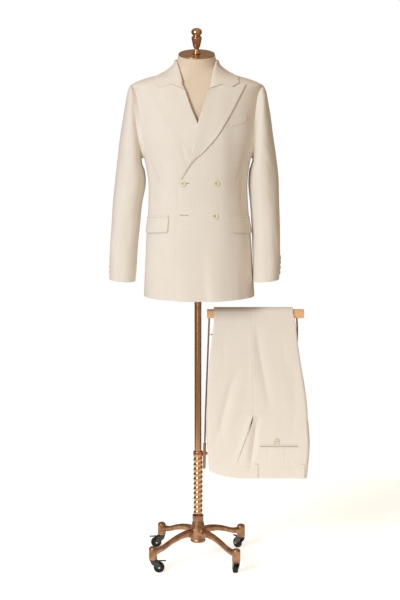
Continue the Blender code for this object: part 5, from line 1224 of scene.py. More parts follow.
def sew_on(name, node, radius, thick, place, normal):
    """A horn button on the cloth, sewn through four holes."""
    normal = unit(np.asarray(normal, float))
    up = np.array([0.0, 0.0, 1.0])
    across = unit(np.cross(up, normal))
    turn = Matrix(np.column_stack([across, np.cross(normal, across), normal]).tolist()).to_4x4()
    seat = Matrix.Translation(tuple(np.asarray(place, float))) @ turn
    shape = button_shape(radius, thick)
    mesh = mesh_from("horn_" + name, *moved(shape, seat), cut=shape[0][:, :2] / radius, weld=True, sharp=50)
    piece("horn_" + name, mesh, polished_horn(), nodes=(node,))
    # Dark discs painted as the shade in the button's holes.
    hard("painted_shade_holes_" + name, moved(painted_shade_holes_shape(radius, thick), seat), enamel_and_painted_shade())
    on_cloth("thread_" + name, moved(thread_shape(radius, thick), seat), twisted_thread())


def buttonhole(name, place_at, length, eye):
    """A worked buttonhole: thread wrapped round a slit, with a round eye at one end. place_at
    gives points from a distance along, a distance across and a height."""
    turn = np.linspace(0.0, math.pi, 9)
    far = [(length / 2 + 0.0008 * math.sin(t), 0.0008 * math.cos(t)) for t in turn]
    near = [(-length / 2 - eye * 1.2 + eye * 1.6 * math.cos(t), -eye * 1.6 * math.sin(t))
            for t in np.linspace(0.7, 2 * math.pi - 0.7, 15)]
    line = np.array(far + [(x, -0.0008) for x in np.linspace(length / 2, -length / 2, 10)] + near
                    + [(x, 0.0008) for x in np.linspace(-length / 2, length / 2, 10)])
    rim = tube(place_at(line[:, 0], line[:, 1], 0.0003), 0.00055, 8, closed=True)
    on_cloth("thread_hole_" + name, rim, twisted_thread())
    # A dark strip painted as the shade in the slit, laid just above the cloth.
    half, open_y = length / 2, 0.0003
    painted_shade_slit = np.array([(half, open_y), (-half, open_y), (-half - eye * 2.2, 0.0), (-half, -open_y),
                     (half, -open_y)])
    faces = [place_at(painted_shade_slit[:, 0], painted_shade_slit[:, 1], high) for high in (0.0001, 0.00028)]
    on_cloth("painted_shade_slit_" + name, loft(faces), enamel_and_painted_shade())


# ---------------------------------------------------------------- sleeves


def armhole_loop(side, turn):
    """The sleeve's head where it is set in; turn 0 is the shoulder, 90 the front, 180 the armpit."""
    inset = 0.0007
    z_middle, z_half = (SHOULDER_Z + ARMPIT_Z) / 2, (SHOULDER_Z - ARMPIT_Z) / 2
    level = z_middle + z_half * np.cos(np.radians(turn))
    z = z_middle + (z_half - inset) * np.cos(np.radians(turn))
    forward = np.sin(np.radians(turn)) > 0
    edge = np.where(forward, read(ARMHOLE, "front", level), read(ARMHOLE, "back", level))
    away = math.degrees(inset / BODY_REACH) * np.abs(np.sin(np.radians(turn))) ** 0.5
    return ring_points(BODY, side * (edge + np.where(forward, away, -away)), z, ARMHOLE_SINK)


def sleeve_rings(side, step, turn, out):
    """Points round the sleeve below its head, by step down it and turn."""
    swing = read(SLEEVE, "swing", step) * (1 if side < 0 else -1)
    value = {name: read(SLEEVE, name, step) for name in Sleeve._fields[1:-1]}
    outer = np.stack([value["out_x"] + swing, value["out_z"]], axis=-1)
    inner = np.stack([value["in_x"] + swing, value["in_z"]], axis=-1)
    middle, reach = (outer + inner) / 2, (outer - inner) / 2
    a, b = np.linalg.norm(reach, axis=-1), value["half_y"]
    c, s = np.cos(np.radians(turn)), np.sin(np.radians(turn))
    cc, ss = power(c, 2.0 / 2.25), power(s, 2.0 / 2.25)
    normal = unit(np.stack([cc / a, ss / b], axis=-1))
    z = middle[..., 1] + a * cc * reach[..., 1] / a
    folds = np.zeros(z.shape)
    for fold in SLEEVE_FOLDS:
        centre, half = (fold.low + fold.high) / 2, (fold.high - fold.low) / 2
        folds = folds + (fold.depth * np.exp(-((turn - fold.angle) / fold.spread) ** 2)
                         * np.maximum(0.0, 1.0 - ((middle[..., 1] - centre) / half) ** 2))
    folds = folds + crumpled(SLEEVE_CRUMPLES, turn, z) * bpy.context.scene.suit_cloth.crumple
    total = out + folds
    x = a * cc + normal[..., 0] * total
    y = b * ss + normal[..., 1] * total
    along = reach / a[..., None]
    place = middle + along * x[..., None]
    return np.stack([side * place[..., 0], value["mid_y"] - y, place[..., 1]], axis=-1)


def sleeve_points(side, step, turn, out):
    """The whole sleeve: step 0 is the armhole, 1 to 13 the table's sections."""
    step, turn = np.broadcast_arrays(step, turn)
    wrapped = np.where(turn <= 180, turn, turn - 360)
    rings = sleeve_rings(side, np.maximum(step, 1.0), wrapped, out)
    loop = armhole_loop(side, wrapped)
    centre = np.stack([loop[..., 0], 0 * step + 0.003, 0 * step + (SHOULDER_Z + ARMPIT_Z) / 2], axis=-1)
    head = loop + unit(loop - centre) * np.asarray(out + 0 * step)[..., None]
    share = np.clip(step, 0.0, 1.0)
    return head + (rings - head) * (share ** 0.8)[..., None]


def sleeve_grid(side, part):
    """The top or the under half of a sleeve, roped at its head and pulled in at its seams."""
    half_seam = 0.25
    step = np.concatenate([[0.0, 0.06, 0.14], np.linspace(0.25, 8.0, 62), np.linspace(8.06, 12.9, 84),
                           [12.94, 12.975, 13.0]])[:, None]
    level = np.where(step < 1, SHOULDER_Z, (read(SLEEVE, "out_z", step) + read(SLEEVE, "in_z", step)) / 2)
    back = mix(read(SLEEVE_BACK_SEAM, "angle", SHOULDER_Z),
               read(SLEEVE_BACK_SEAM, "angle", level), np.clip(step, 0.0, 1.0))
    if part == "top":
        low, high, count = back + half_seam, SLEEVE_FRONT_SEAM - half_seam + 0 * back, 0.22
    else:
        low, high, count = SLEEVE_FRONT_SEAM + half_seam + 0 * back, 360.0 + back - half_seam, 0.16
    turn = low + (high - low) * steps(count, 0.0042)
    dip = seam_dip(np.radians(np.minimum(turn - low, high - turn)) * 0.05)
    rope = 0.0004 * np.exp(-((step - 0.9) / 0.55) ** 2) * (part == "top")
    hem = -0.0003 * np.exp(-((step - 12.25) / 0.035) ** 2)
    lift = dip * np.clip(step, 0.0, 1.0) + rope + hem
    return (sleeve_points(side, step, turn, lift), sleeve_points(side, step, turn, lift - JACKET_WALL))


def sleeve_spot(side, z, turn, out):
    """A point on the lower sleeve by height and turn."""
    at = np.interp(-z, [-(row.out_z + row.in_z) / 2 - (row.out_z - row.in_z) / 2 for row in SLEEVE[7:]],
                   [row.step for row in SLEEVE[7:]])
    return sleeve_rings(side, np.asarray(at, float), np.asarray(turn, float), out)


# ---------------------------------------------------------------- trousers


def waist_rise(x):
    return 0.025 * (np.maximum(0.0, 0.15 - x) / 0.115) ** 2


def creases_at(x, drop):
    total = np.zeros(np.shape(x))
    for crease in TROUSER_CREASES + FINE_CREASES:
        t = (drop - crease.top_drop) / (crease.low_drop - crease.top_drop)
        if 0.0 < t < 1.0:
            line = mix(crease.top_x, crease.low_x, t)
            total = total + crease.depth * math.sin(math.pi * t) ** 0.7 * np.exp(
                -((x - line) / crease.spread) ** 2)
    return total


def over_bar(x, out, kind, value):
    """Points on the hanging trousers: out from the fold's inner face, before, over or behind
    the bar."""
    reach = FOLD_R + out
    if kind == "over":
        turn = math.radians(value)
        return np.stack([x, reach * math.sin(turn), FOLD_CENTRE_Z + reach * math.cos(turn)], axis=-1)
    sign = -1 if kind == "front" else 1
    return np.stack([x, sign * reach, np.full(np.shape(x), FOLD_CENTRE_Z - value)], axis=-1)


LEG_COLUMNS = ((20, 10, 10), (56, 12, 10))      # along a face, round the crease and back, by half


def leg_section(half, crease, kind, value, columns):
    """Section of one panel in X and out: from the outseam round its crease to the inseam or,
    above the crotch, to the seam that joins the two halves."""
    rows = LEG_BACK if kind == "back" else LEG_FRONT
    drop = value if kind != "over" else 0.0
    thick, front_x, back_x = (float(read(rows, field, drop)) for field in ("thick", "front_x", "back_x"))
    middle_x = mix(front_x, back_x, 0.47)
    edge_x = front_x if crease == "front" else back_x
    inward = 1.0 if crease == "front" else -1.0
    joined = float(ease((drop - CROTCH_DROP) / 0.07)) if kind == "front" else 0.0
    base = 0.0006
    near, far = base + thick, base + 2 * thick
    face = far if half else base
    back_face = near + LAYER * 0.75 if half else near - LAYER * 0.75
    bend = min(0.012, 0.9 * thick)
    t = steps(0.15, 0.15 / columns[0])[:-1]
    x1, out1 = mix(middle_x, edge_x + inward * bend, t), np.full(len(t), face)
    t = np.linspace(0.0, 1.0, columns[1] + 1)
    leg_x = edge_x + inward * bend * (1 - np.sin(math.pi * t))
    leg_out = mix(face, back_face, (1 - np.cos(math.pi * t)) / 2)
    hip_x = edge_x + inward * bend * (1 - np.sin(math.pi / 2 * t))
    hip_out = mix(face, back_face, 1 - np.cos(math.pi / 2 * t))
    x2, out2 = mix(leg_x, hip_x, joined), mix(leg_out, hip_out, joined)
    inseam_x = mix(middle_x, edge_x + inward * (bend + 0.004), float(ease(joined * 1.6)))
    t = np.linspace(0.0, 1.0, columns[2] + 1)[1:]
    x3, out3 = mix(x2[-1], inseam_x, t), np.full(len(t), back_face)
    if half and kind == "front":
        out1 = out1 + creases_at(x1, drop)
        out2[0] += 0.5 * float(creases_at(x2[:1], drop)[0])
    if half and kind != "back":
        out1 = out1 + seam_dip(np.abs(x1 - middle_x) + 0.0004)
    return np.column_stack([np.concatenate([x1, x2, x3]), np.concatenate([out1, out2, out3])])


def offset_line(section, wall, crease, half):
    """The section's inner line, a wall's thickness inside the outer one."""
    sign = 1.0 if (crease == "front") == bool(half) else -1.0
    ahead = np.concatenate([section[1:], section[-1:]]) - np.concatenate([section[:1], section[:-1]])
    ahead = ahead / np.maximum(np.linalg.norm(ahead, axis=1, keepdims=True), 1e-9)
    return section + sign * wall * np.column_stack([-ahead[:, 1], ahead[:, 0]])


def trouser_grid(half, crease):
    """One leg's front or back panel, from the waistband over the bar to the hem."""
    columns = LEG_COLUMNS[half]
    drops = (WAIST_DROP - WAISTBAND) * (1.0 - steps(0.5, 0.0052, (0.0007, 0.0018)))
    stations = [("front", drop) for drop in drops[:-1]]
    stations += [("over", turn) for turn in np.linspace(-90.0, 90.0, 25)]
    stations += [("back", drop) for drop in HEM_DROP * steps(0.5, 0.012, (0.001, 0.003))[1:]]
    outer, inner = [], []
    gap = GAP / 2 if crease == "front" else -GAP / 2
    for index, (kind, value) in enumerate(stations):
        section = leg_section(half, crease, kind, value, columns)
        share = 0.0
        if kind == "front":
            share = (0.2 * float(ease((value - 0.36) / 0.06)) if value < 0.42 else
                     np.interp(value, [0.42, 0.462, WAIST_DROP - WAISTBAND], [0.2, 0.55, 1.0]))
        for line, points in ((section, outer), (offset_line(section, TROUSER_WALL, crease, half), inner)):
            x = line[:, 0].copy()
            x[0] -= gap
            x[-1] -= gap
            place = over_bar(x, line[:, 1], kind, value)
            place[:, 2] += waist_rise(x) * share + (GAP if index == 0 else 0.0)
            points.append(place)
    return np.array(outer), np.array(inner)


def waist_line(half, drop, columns):
    """The waistband's line from the fly round to the back seam, in X and out."""
    front = leg_section(half, "front", "front", drop, columns)
    back = leg_section(half, "back", "front", drop, columns)
    kept = len(front) - columns[2]
    return np.concatenate([front[:kept][::-1], back[1:kept]])


def waistband_grid(half):
    outer, inner = [], []
    columns = LEG_COLUMNS[half]
    for t in steps(WAISTBAND, 0.0022, (0.0005, 0.0014)):
        line = waist_line(half, WAIST_DROP - WAISTBAND * t, columns)
        line[:, 1] += (0.0004 * math.sin(math.pi * t) ** 0.5 - 0.0002) * (1 if half else -1)
        inside = offset_line(line, WAISTBAND_WALL, "back", half)
        for points, section in ((outer, line), (inner, inside)):
            x = section[:, 0]
            points.append(np.column_stack([x, -(FOLD_R + section[:, 1]),
                                           TROUSER_WAIST_Z + waist_rise(x) + WAISTBAND * t]))
    return np.array(outer), np.array(inner)


def hip_points(x, z, out):
    """Points on the outer face of the right half of the trousers, by X and height."""
    x, z, out = np.broadcast_arrays(np.asarray(x, float), np.asarray(z, float), np.asarray(out, float))
    made = np.zeros(x.shape + (3,))
    for place in np.ndindex(x.shape):
        line = waist_line(1, FOLD_CENTRE_Z - z[place], LEG_COLUMNS[1])
        face = float(np.interp(x[place], line[:, 0], line[:, 1]))
        made[place] = (x[place], -(FOLD_R + face + out[place]), z[place])
    return made


def pocket_lip_grid():
    """The slant pocket's folded edge: proud at the mouth, flat a finger's width from it."""
    t = steps(0.16, 0.0045)[:, None]
    s = np.array([0.0, 0.02, 0.06, 0.14, 0.28, 0.45, 0.64, 0.82, 0.95, 1.0])[None, :]
    (x_top, z_top), (x_low, z_low) = POCKET_SLIT
    x = mix(x_top, x_low, t) - 0.016 * s
    z = mix(z_top, z_low, t) + 0.005 * s
    open_share = np.sin(math.pi * np.clip(t, 0.02, 0.98)) ** 0.35
    high = 0.0003 + 0.0022 * (1.0 - ease(s)) * open_share
    return hip_points(x + 0 * z, z, high + 0 * x), hip_points(x + 0 * z, z, high * 0.2 - 0.0004 + 0 * x)


def painted_shade_slant_mouth():
    """Painted shade for the slant pocket's mouth: a dark wedge laid on the cloth, widest a third of the way down.
    """
    t = np.linspace(0.0, 1.0, 25)
    (x_top, z_top), (x_low, z_low) = POCKET_SLIT
    wide = 0.0006 + 0.0056 * np.sin(math.pi * t ** 0.55) ** 1.5 * (1.0 - 0.6 * t)
    x, z = mix(x_top, x_low, t), mix(z_top, z_low, t)
    spots_x, spots_z = np.concatenate([x + 0.0003, (x + wide)[::-1]]), np.concatenate([z, z[::-1]])
    return loft([hip_points(spots_x, spots_z, high) for high in (0.00045, 0.0003)])


def painted_shade_back_mouth():
    """Painted shade between the back pocket's jets: a dark strip laid on the cloth."""
    x = np.linspace(BACK_POCKET["left_x"] + 0.001, BACK_POCKET["right_x"] - 0.001, 20)
    z = BACK_POCKET["z"] + 0 * x
    tall = BACK_POCKET["height"] * 0.06
    spots_x, spots_z = np.concatenate([x, x[::-1]]), np.concatenate([z - tall, (z + tall)[::-1]])
    return loft([hip_points(spots_x, spots_z, high) for high in (0.0017, 0.0011)])


def belt_loop_grid(x_middle):
    t, s = steps(LOOP_LENGTH, 0.0024, (0.0005, 0.0014))[:, None], np.linspace(-0.5, 0.5, 9)[None, :]
    x = x_middle + LOOP_WIDTH * s + 0 * t
    z = TROUSER_WAIST_Z + waist_rise(x) - 0.001 + LOOP_LENGTH * t
    bow = 0.0012 * np.sin(math.pi * t) ** 0.6 + 0.0003 * np.cos(math.pi * s)
    return hip_points(x, z, 0.002 + bow), hip_points(x, z, 0.0008 + 0.6 * bow)


def pocket_jet_grid(low, high):
    """One jet of the back pocket, between two shares of the pocket's height."""
    t, s = np.linspace(0.0, 1.0, 7)[:, None], steps(0.1225, 0.004)[None, :]
    x = mix(BACK_POCKET["left_x"], BACK_POCKET["right_x"], s) + 0 * t
    z = BACK_POCKET["z"] + BACK_POCKET["height"] * (mix(low, high, t) - 0.5) + 0 * s
    swell = 0.0007 * np.sqrt(np.maximum(0.0, 1.0 - (2.0 * t - 1.0) ** 2))
    return hip_points(x, z, 0.0014 + swell), hip_points(x, z, 0.0009 + 0 * swell)


# ---------------------------------------------------------------- form and stand


def tilted(points):
    """Points of the neck's top frame, leaning forward, round the pole's axis."""
    turn = np.array(Matrix.Rotation(math.radians(NECK_TILT), 3, "X"))
    return np.asarray(points, float) @ turn.T + NECK_TOP


FORM_SEAMS = (0, 40, 90, 140, 180, 220, 270, 320)       # round the form, degrees


def form_shape():
    """The form's shell: outside up to the neck's tilted top, and back down inside."""
    turns = np.linspace(0.0, 360.0, 96, endpoint=False)
    levels = np.concatenate([[0.925, 0.9262, 0.929], np.linspace(0.934, 1.5, 66),
                             np.linspace(1.508, 1.56, 12), np.linspace(1.564, 1.622, 30)])

    def rings(heights, inset, count):
        seams = np.minimum.reduce([np.abs((turns - at + 180) % 360 - 180) for at in FORM_SEAMS])
        dip = -0.0007 * np.exp(-(seams / 0.9) ** 2) * (inset == 0)
        low = [ring_points(FORM, turns, z, -inset + dip - (0.0012 if z < 0.9255 and inset == 0 else 0.0))
               for z in heights]
        radius = NECK_R - inset
        turn = np.radians(turns)
        top = tilted(np.column_stack([radius * np.sin(turn), -radius * np.cos(turn), 0 * turn - inset]))
        neck = [low[-1] + (top - low[-1]) * t for t in np.linspace(0.0, 1.0, count)[1:]]
        return low + neck

    outer = rings(levels, 0.0, 12)
    inner = rings(levels[3::3], FORM_WALL, 5)
    bottom = inner[0].copy()
    bottom[:, 2] = levels[0]
    whole = outer[::-1] + [bottom] + inner
    points, faces = loft(whole)
    climb = np.linalg.norm(np.diff(np.array(whole), axis=0), axis=-1).mean(axis=1)
    heights = np.concatenate([[0.0], np.cumsum(climb)])
    cut = np.stack(np.broadcast_arrays(np.radians(turns)[None, :] * 0.15, heights[:, None]), axis=-1)
    return points, faces, cut.reshape(-1, 2)


def leg_places():
    names = ("back_left", "back_right", "front_right", "front_left")
    turns = [math.radians(LEG_TURN + 90.0 * k) for k in range(4)]
    return {name: (LEG_REACH * math.cos(a), LEG_REACH * math.sin(a)) for name, a in zip(names, turns)}


LegRing = namedtuple("LegRing", "reach middle_z half_height half_width")
LEG_RINGS = [
    LegRing(0.02, 0.093, 0.0185, 0.0085), LegRing(0.04, 0.1, 0.0135, 0.0085),
    LegRing(0.07, 0.0985, 0.011, 0.008), LegRing(0.11, 0.0885, 0.01, 0.0075),
    LegRing(0.15, 0.0735, 0.0095, 0.0077), LegRing(0.184, 0.067, 0.011, 0.0085),
]
HUB = [(HUB_BORE_R, HUB_LOW_Z), (0.0245, HUB_LOW_Z), (0.0255, 0.072), (0.0215, 0.078),
       (0.0262, 0.09), (0.0262, 0.102), (0.0225, 0.118), (0.0177, 0.138), (0.0186, 0.144),
       (0.0186, HUB_TOP_Z), (HUB_BORE_R, HUB_TOP_Z)]


def base_shapes():
    """Hub, four arched legs and their caster bosses."""
    shapes = [lathe(rounded(HUB, 0.003), 64)]
    turn = np.linspace(0.0, 2 * math.pi, 28, endpoint=False)
    for x, y in leg_places().values():
        along = unit(np.array([x, y, 0.0]))
        across = np.array([-along[1], along[0], 0.0])
        rings = []
        for reach in np.linspace(LEG_RINGS[0].reach, LEG_RINGS[-1].reach, 40):
            tall, wide = read(LEG_RINGS, "half_height", reach), read(LEG_RINGS, "half_width", reach)
            height = read(LEG_RINGS, "middle_z", reach) + power(np.sin(turn), 0.75) * tall
            rings.append(along * reach + np.outer(power(np.cos(turn), 0.75) * wide, across)
                         + np.outer(height, [0, 0, 1]))
        shapes.append(loft(rings))
        boss = [(BOSS_BORE_R, BOSS_LOW_Z), (BOSS_R, BOSS_LOW_Z), (BOSS_R, BOSS_HIGH_Z - 0.005),
                (BOSS_R - 0.004, BOSS_HIGH_Z), (0.003, BOSS_HIGH_Z + 0.001), (0.003, BOSS_LOW_Z + 0.03),
                (BOSS_BORE_R, BOSS_LOW_Z + 0.03)]
        pin = [(0.0, BOSS_LOW_Z + 0.031), (0.006, BOSS_LOW_Z + 0.031), (0.006, BOSS_HIGH_Z), (0.0, BOSS_HIGH_Z)]
        for solid in (lathe(rounded(boss, 0.002), 40), lathe(pin, 24)):
            shapes.append(moved(solid, Matrix.Translation((x, y, 0.0))))
    return shapes


def thread_rings():
    """The helical thread round the pole, and back down its bore."""
    bore = POLE_R + GAP
    around = 40
    turn = np.linspace(0.0, 2 * math.pi, around, endpoint=False)
    count = int((SCREW_HIGH_Z - SCREW_LOW_Z) / SCREW_PITCH * 14)
    rings = []
    for z in np.linspace(SCREW_LOW_Z, SCREW_HIGH_Z, count):
        phase = (z / SCREW_PITCH - turn / (2 * math.pi)) % 1.0
        fade = ease(min(z - SCREW_LOW_Z, SCREW_HIGH_Z - z) / 0.004)
        radius = bore + 0.001 + (SCREW_R - bore - 0.001) * np.sin(math.pi * phase) ** 1.1 * fade
        rings.append(np.column_stack([radius * np.cos(turn), radius * np.sin(turn), np.full(around, z)]))
    for z in (SCREW_HIGH_Z, SCREW_LOW_Z):
        rings.append(np.column_stack([bore * np.cos(turn), bore * np.sin(turn), np.full(around, z)]))
    rings.append(rings[0])
    return loft(rings, capped=False)


def fork_shapes():
    """A caster's fork in its own frame: swivel race, two cheeks, a roof and a brake pedal."""
    outer = FORK_INNER + FORK_CHEEK
    stem_r, stem_z = BOSS_BORE_R - 2 * GAP, BOSS_LOW_Z + 0.028
    stem = lathe(rounded([(0.0, 0.04), (stem_r, 0.04), (stem_r, stem_z), (0.0, stem_z)], 0.001), 24)
    race_r, race_z = 0.0118, BOSS_LOW_Z - GAP
    race = lathe(rounded([(0.0, 0.0396), (race_r, 0.0396), (race_r, race_z), (0.0, race_z)], 0.001), 40)
    outline = rounded([(-0.0085, 0.0388), (TRAIL - 0.004, 0.0388), (TRAIL + 0.007, 0.0215),
                       (TRAIL + 0.0055, 0.0125), (TRAIL - 0.0055, 0.0125), (-0.007, 0.032)],
                      0.006, closed=True)
    shapes = [stem, race]
    shapes += [plate(outline, *sorted((sign * FORK_INNER, sign * outer)), 0.0005) for sign in (-1, 1)]
    side = outer + 0.0003
    shapes.append(block((-0.009, -side, 0.037), (TRAIL - 0.003, side, 0.0402), 0.0012))
    shapes.append(block((TRAIL - 0.005, -0.0055, 0.0377), (TRAIL + 0.023, 0.0055, 0.0397), 0.0009))
    return shapes


def mirrored(profile):
    """Radius and height from below to the middle, run on through their mirror image above."""
    return profile + [(radius, -height) for radius, height in profile[::-1]]


AXLE = Matrix.Translation((TRAIL, 0, AXLE_Z)) @ Matrix.Rotation(math.pi / 2, 4, "X")


def axle_shape():
    outer = FORK_INNER + FORK_CHEEK
    pin = [(0.0, -outer - 0.0012), (0.0026, -outer - 0.001), (0.0032, -outer), (0.0028, -outer + 0.0004)]
    return moved(lathe(rounded(mirrored(pin), 0.0004), 24), AXLE)


def wheel_shape():
    half, radius = WHEEL_WIDTH / 2, AXLE_Z
    profile = [(WHEEL_BORE_R, -half + 0.0006), (0.0075, -half + 0.0006), (0.009, -half + 0.0022),
               (0.0122, -half + 0.0022), (0.0134, -half), (radius - 0.0022, -half), (radius, -half + 0.003)]
    return moved(lathe(rounded(mirrored(profile), 0.0012), 56), AXLE)


FINIAL = [(0.0, 0.0), (0.0125, 0.0), (0.0125, 0.003), (0.0095, 0.005), (0.01, 0.0085),
          (0.0072, 0.0115), (0.0074, 0.0165), (0.0108, 0.0215), (0.014, 0.036),
          (0.0163, 0.049), (0.016, 0.053), (0.0105, 0.0555), (0.0118, 0.058),
          (0.0163, 0.0635), (0.0172, 0.0695), (0.0145, 0.0755), (0.008, 0.0795), (0.0, 0.0805)]
ROD_LEFT = [(0.0366, 0.8162), (0.0346, 0.762), (0.0322, 0.7), (0.0302, 0.6457), (0.0274, 0.57),
            (0.0245, 0.49), (0.0232, 0.43), (0.0222, 0.402)]
ROD_RIGHT = [(0.3204, 0.8162), (0.3222, 0.79), (0.3225, 0.762), (0.32, 0.72), (0.309, 0.668),
             (0.284, 0.612), (0.245, 0.556), (0.195, 0.504), (0.14, 0.456), (0.09, 0.415),
             (0.052, 0.384), (0.0342, 0.3674)]


def bar_shape():
    outline = rounded([(-0.007, -BAR_HEIGHT), (0.007, -BAR_HEIGHT), (0.01, -BAR_HEIGHT + 0.003),
                       (0.01, -0.008), (0.0089, -0.004), (0.006, -0.0011), (0.002, 0.0),
                       (-0.002, 0.0), (-0.006, -0.0011), (-0.0089, -0.004), (-0.01, -0.008),
                       (-0.01, -BAR_HEIGHT + 0.003)], 0.0025, closed=True, count=3)
    middle = np.array([0.0, -BAR_HEIGHT / 2])
    rings = []
    for x, inset in ((BAR_LEFT_X, 0.001), (BAR_LEFT_X + 0.0004, 0.0004), (BAR_LEFT_X + 0.0012, 0.0),
                     (BAR_RIGHT_X - 0.0012, 0.0), (BAR_RIGHT_X - 0.0004, 0.0004), (BAR_RIGHT_X, 0.001)):
        shape = middle + (outline - middle) * (1.0 - inset / 0.01)
        rings.append(np.column_stack([np.full(len(shape), x), shape[:, 0], BAR_TOP_Z + shape[:, 1]]))
    return loft(rings)


# ---------------------------------------------------------------- operators


class Builder(bpy.types.Operator):
    """Shared shape of the builders: build() makes the pieces."""
    bl_options = {"REGISTER", "UNDO"}

    def build(self):
        raise NotImplementedError

    def execute(self, context):
        self.build()
        return {"FINISHED"}


SIDES = ((1, "left"), (-1, "right"))
HALVES = ((1, "right"), (0, "left"))        # of the folded trousers: the right one hangs outside


class SUIT_OT_fronts(Builder):
    """Sews the two fronts, the left one lapping over the right"""
    bl_idname = "suit.fronts"
    bl_label = "Fronts"

    def build(self):
        for side, word in SIDES:
            cloth("front_" + word, front_grid(side))


class SUIT_OT_sides_backs(Builder):
    """Sews the panels under the arms and the two backs"""
    bl_idname = "suit.sides_backs"
    bl_label = "Sides and backs"

    def build(self):
        for side, word in SIDES:
            cloth("side_" + word, side_grid(side))
            cloth("back_" + word, back_grid(side))


class SUIT_OT_lapels(Builder):
    """Turns both peak lapels over at their roll and works the lapel buttonhole"""
    bl_idname = "suit.lapels"
    bl_label = "Lapels"

    def build(self):
        for side, word in SIDES:
            cloth("lapel_" + word, lapel_grid(side))

        def place_at(along, across, high):
            x = 0.1275 + along * 0.97 - across * 0.2
            z = 1.5335 + along * 0.24 + across * 0.97
            return chest_points(1, x, z, LAPEL_LAYER + JACKET_WALL + high)

        buttonhole("lapel", place_at, 0.011, 0.0)


class SUIT_OT_collar(Builder):
    """Turns the collar's leaf over its stand round the neck"""
    bl_idname = "suit.collar"
    bl_label = "Collar"

    def build(self):
        cloth("collar", collar_grid())


class SUIT_OT_pockets(Builder):
    """Sews the hip pockets' flaps and jets and the breast welt"""
    bl_idname = "suit.pockets"
    bl_label = "Pockets"

    def build(self):
        for side, word in SIDES:
            cloth("flap_" + word, flap_grid(side))
            cloth("jet_" + word, jet_grid(side))
        cloth("breast_welt", welt_grid())


class SUIT_OT_front_buttons(Builder):
    """Sews on the front's horn buttons and works its buttonholes"""
    bl_idname = "suit.front_buttons"
    bl_label = "Front buttons"

    def build(self):
        for name, (x, z) in FRONT_BUTTONS.items():
            angle = float(front_angle(x, z))
            lift = float(panel_lift(1, angle, z)) + 0.0005
            seat, out = body_points(angle, z, lift), body_points(angle, z, lift + 0.01)
            sew_on("button_" + name, "button_" + name, BUTTON_R, BUTTON_THICK, seat, out - seat)

        def hole_at(x_start, z_start, way):
            def place_at(along, across, high):
                x, z = x_start + way * along, z_start + across + 0 * along
                return chest_points(1, x, z, high)
            return place_at

        x, z = FRONT_BUTTONS["top_right"]
        buttonhole("fastened", hole_at(x + 0.0125, z + 0.0004, -1), 0.016, 0.0)
        buttonhole("low_right", hole_at(-0.0424, 1.1632, 1), 0.023, 0.0011)


class SUIT_OT_sleeves(Builder):
    """Sews the two-piece sleeves into the armholes"""
    bl_idname = "suit.sleeves"
    bl_label = "Sleeves"

    def build(self):
        for side, word in SIDES:
            for part in ("top", "under"):
                cloth(f"sleeve_{part}_{word}", sleeve_grid(side, part))


class SUIT_OT_cuffs(Builder):
    """Sews four kissing buttons on each cuff"""
    bl_idname = "suit.cuffs"
    bl_label = "Cuff buttons"

    def build(self):
        for side, word in SIDES:
            for k in range(4):
                z = CUFF_BUTTON_LOW_Z + CUFF_BUTTON_STEP * k
                seat = sleeve_spot(side, z, CUFF_BUTTON_ANGLE[side], 0.0004)
                out = sleeve_spot(side, z, CUFF_BUTTON_ANGLE[side], 0.01)
                sew_on(f"cuff_{word}_{k + 1}", f"cuff_button_{word}_{k + 1}", CUFF_BUTTON_R,
                       CUFF_BUTTON_THICK, seat, out - seat)


class SUIT_OT_trousers(Builder):
    """Sews the trousers' panels, folded over the bar and hanging waist down"""
    bl_idname = "suit.trousers"
    bl_label = "Trouser legs"

    def build(self):
        for half, word in HALVES:
            for crease in ("front", "back"):
                cloth(f"trouser_{crease}_{word}", trouser_grid(half, crease))


class SUIT_OT_waistband(Builder):
    """Sews the waistband's two halves, from the fly to the back seam"""
    bl_idname = "suit.waistband"
    bl_label = "Waistband"

    def build(self):
        for half, word in HALVES:
            cloth("waistband_" + word, waistband_grid(half))


class SUIT_OT_trims(Builder):
    """Sews the trousers' belt loops, pocket edges and back pocket"""
    bl_idname = "suit.trims"
    bl_label = "Trouser trims"

    def build(self):
        for name, x in LOOPS.items():
            cloth("loop_" + name, belt_loop_grid(x),
                  ("belt_loop_" + name,))
        cloth("pocket_edge", pocket_lip_grid(), ())
        for name, low, high in (("upper", 0.56, 1.0), ("lower", 0.0, 0.44)):
            cloth("back_jet_" + name, pocket_jet_grid(low, high),
                  ("back_pocket_jet",))
        # Dark strips painted as the shade in the slant and back pockets' mouths.
        for name, shape in (("slant", painted_shade_slant_mouth()), ("back", painted_shade_back_mouth())):
            on_cloth("painted_shade_mouth_" + name, shape, pocket_mouth_shade())
        x, z = POCKET_BUTTON
        seat, out = hip_points(x, z, 0.0008), hip_points(x, z, 0.01)
        sew_on("pocket", "back_pocket_button", POCKET_BUTTON_R, CUFF_BUTTON_THICK * 0.85, seat, out - seat)
        turn, reach, low = np.linspace(0.0, math.pi, 12), 0.0078, z - 0.013
        xs = np.concatenate([[x - reach], x - reach * np.cos(turn), [x + reach]])
        zs = np.concatenate([[low], z + reach * np.sin(turn), [low]])
        on_cloth("linen_pocket_loop", tube(hip_points(xs, zs, 0.0006), 0.0006, 8), twisted_thread())


class SUIT_OT_form(Builder):
    """Moulds the dress form's shell and glues calico over it"""
    bl_idname = "suit.form"
    bl_label = "Dress form"

    def build(self):
        points, faces, cut = form_shape()
        piece("calico_form", mesh_from("calico_form", points, faces, cut=cut, sharp=50), stretched_calico(),
              nodes=("form",))


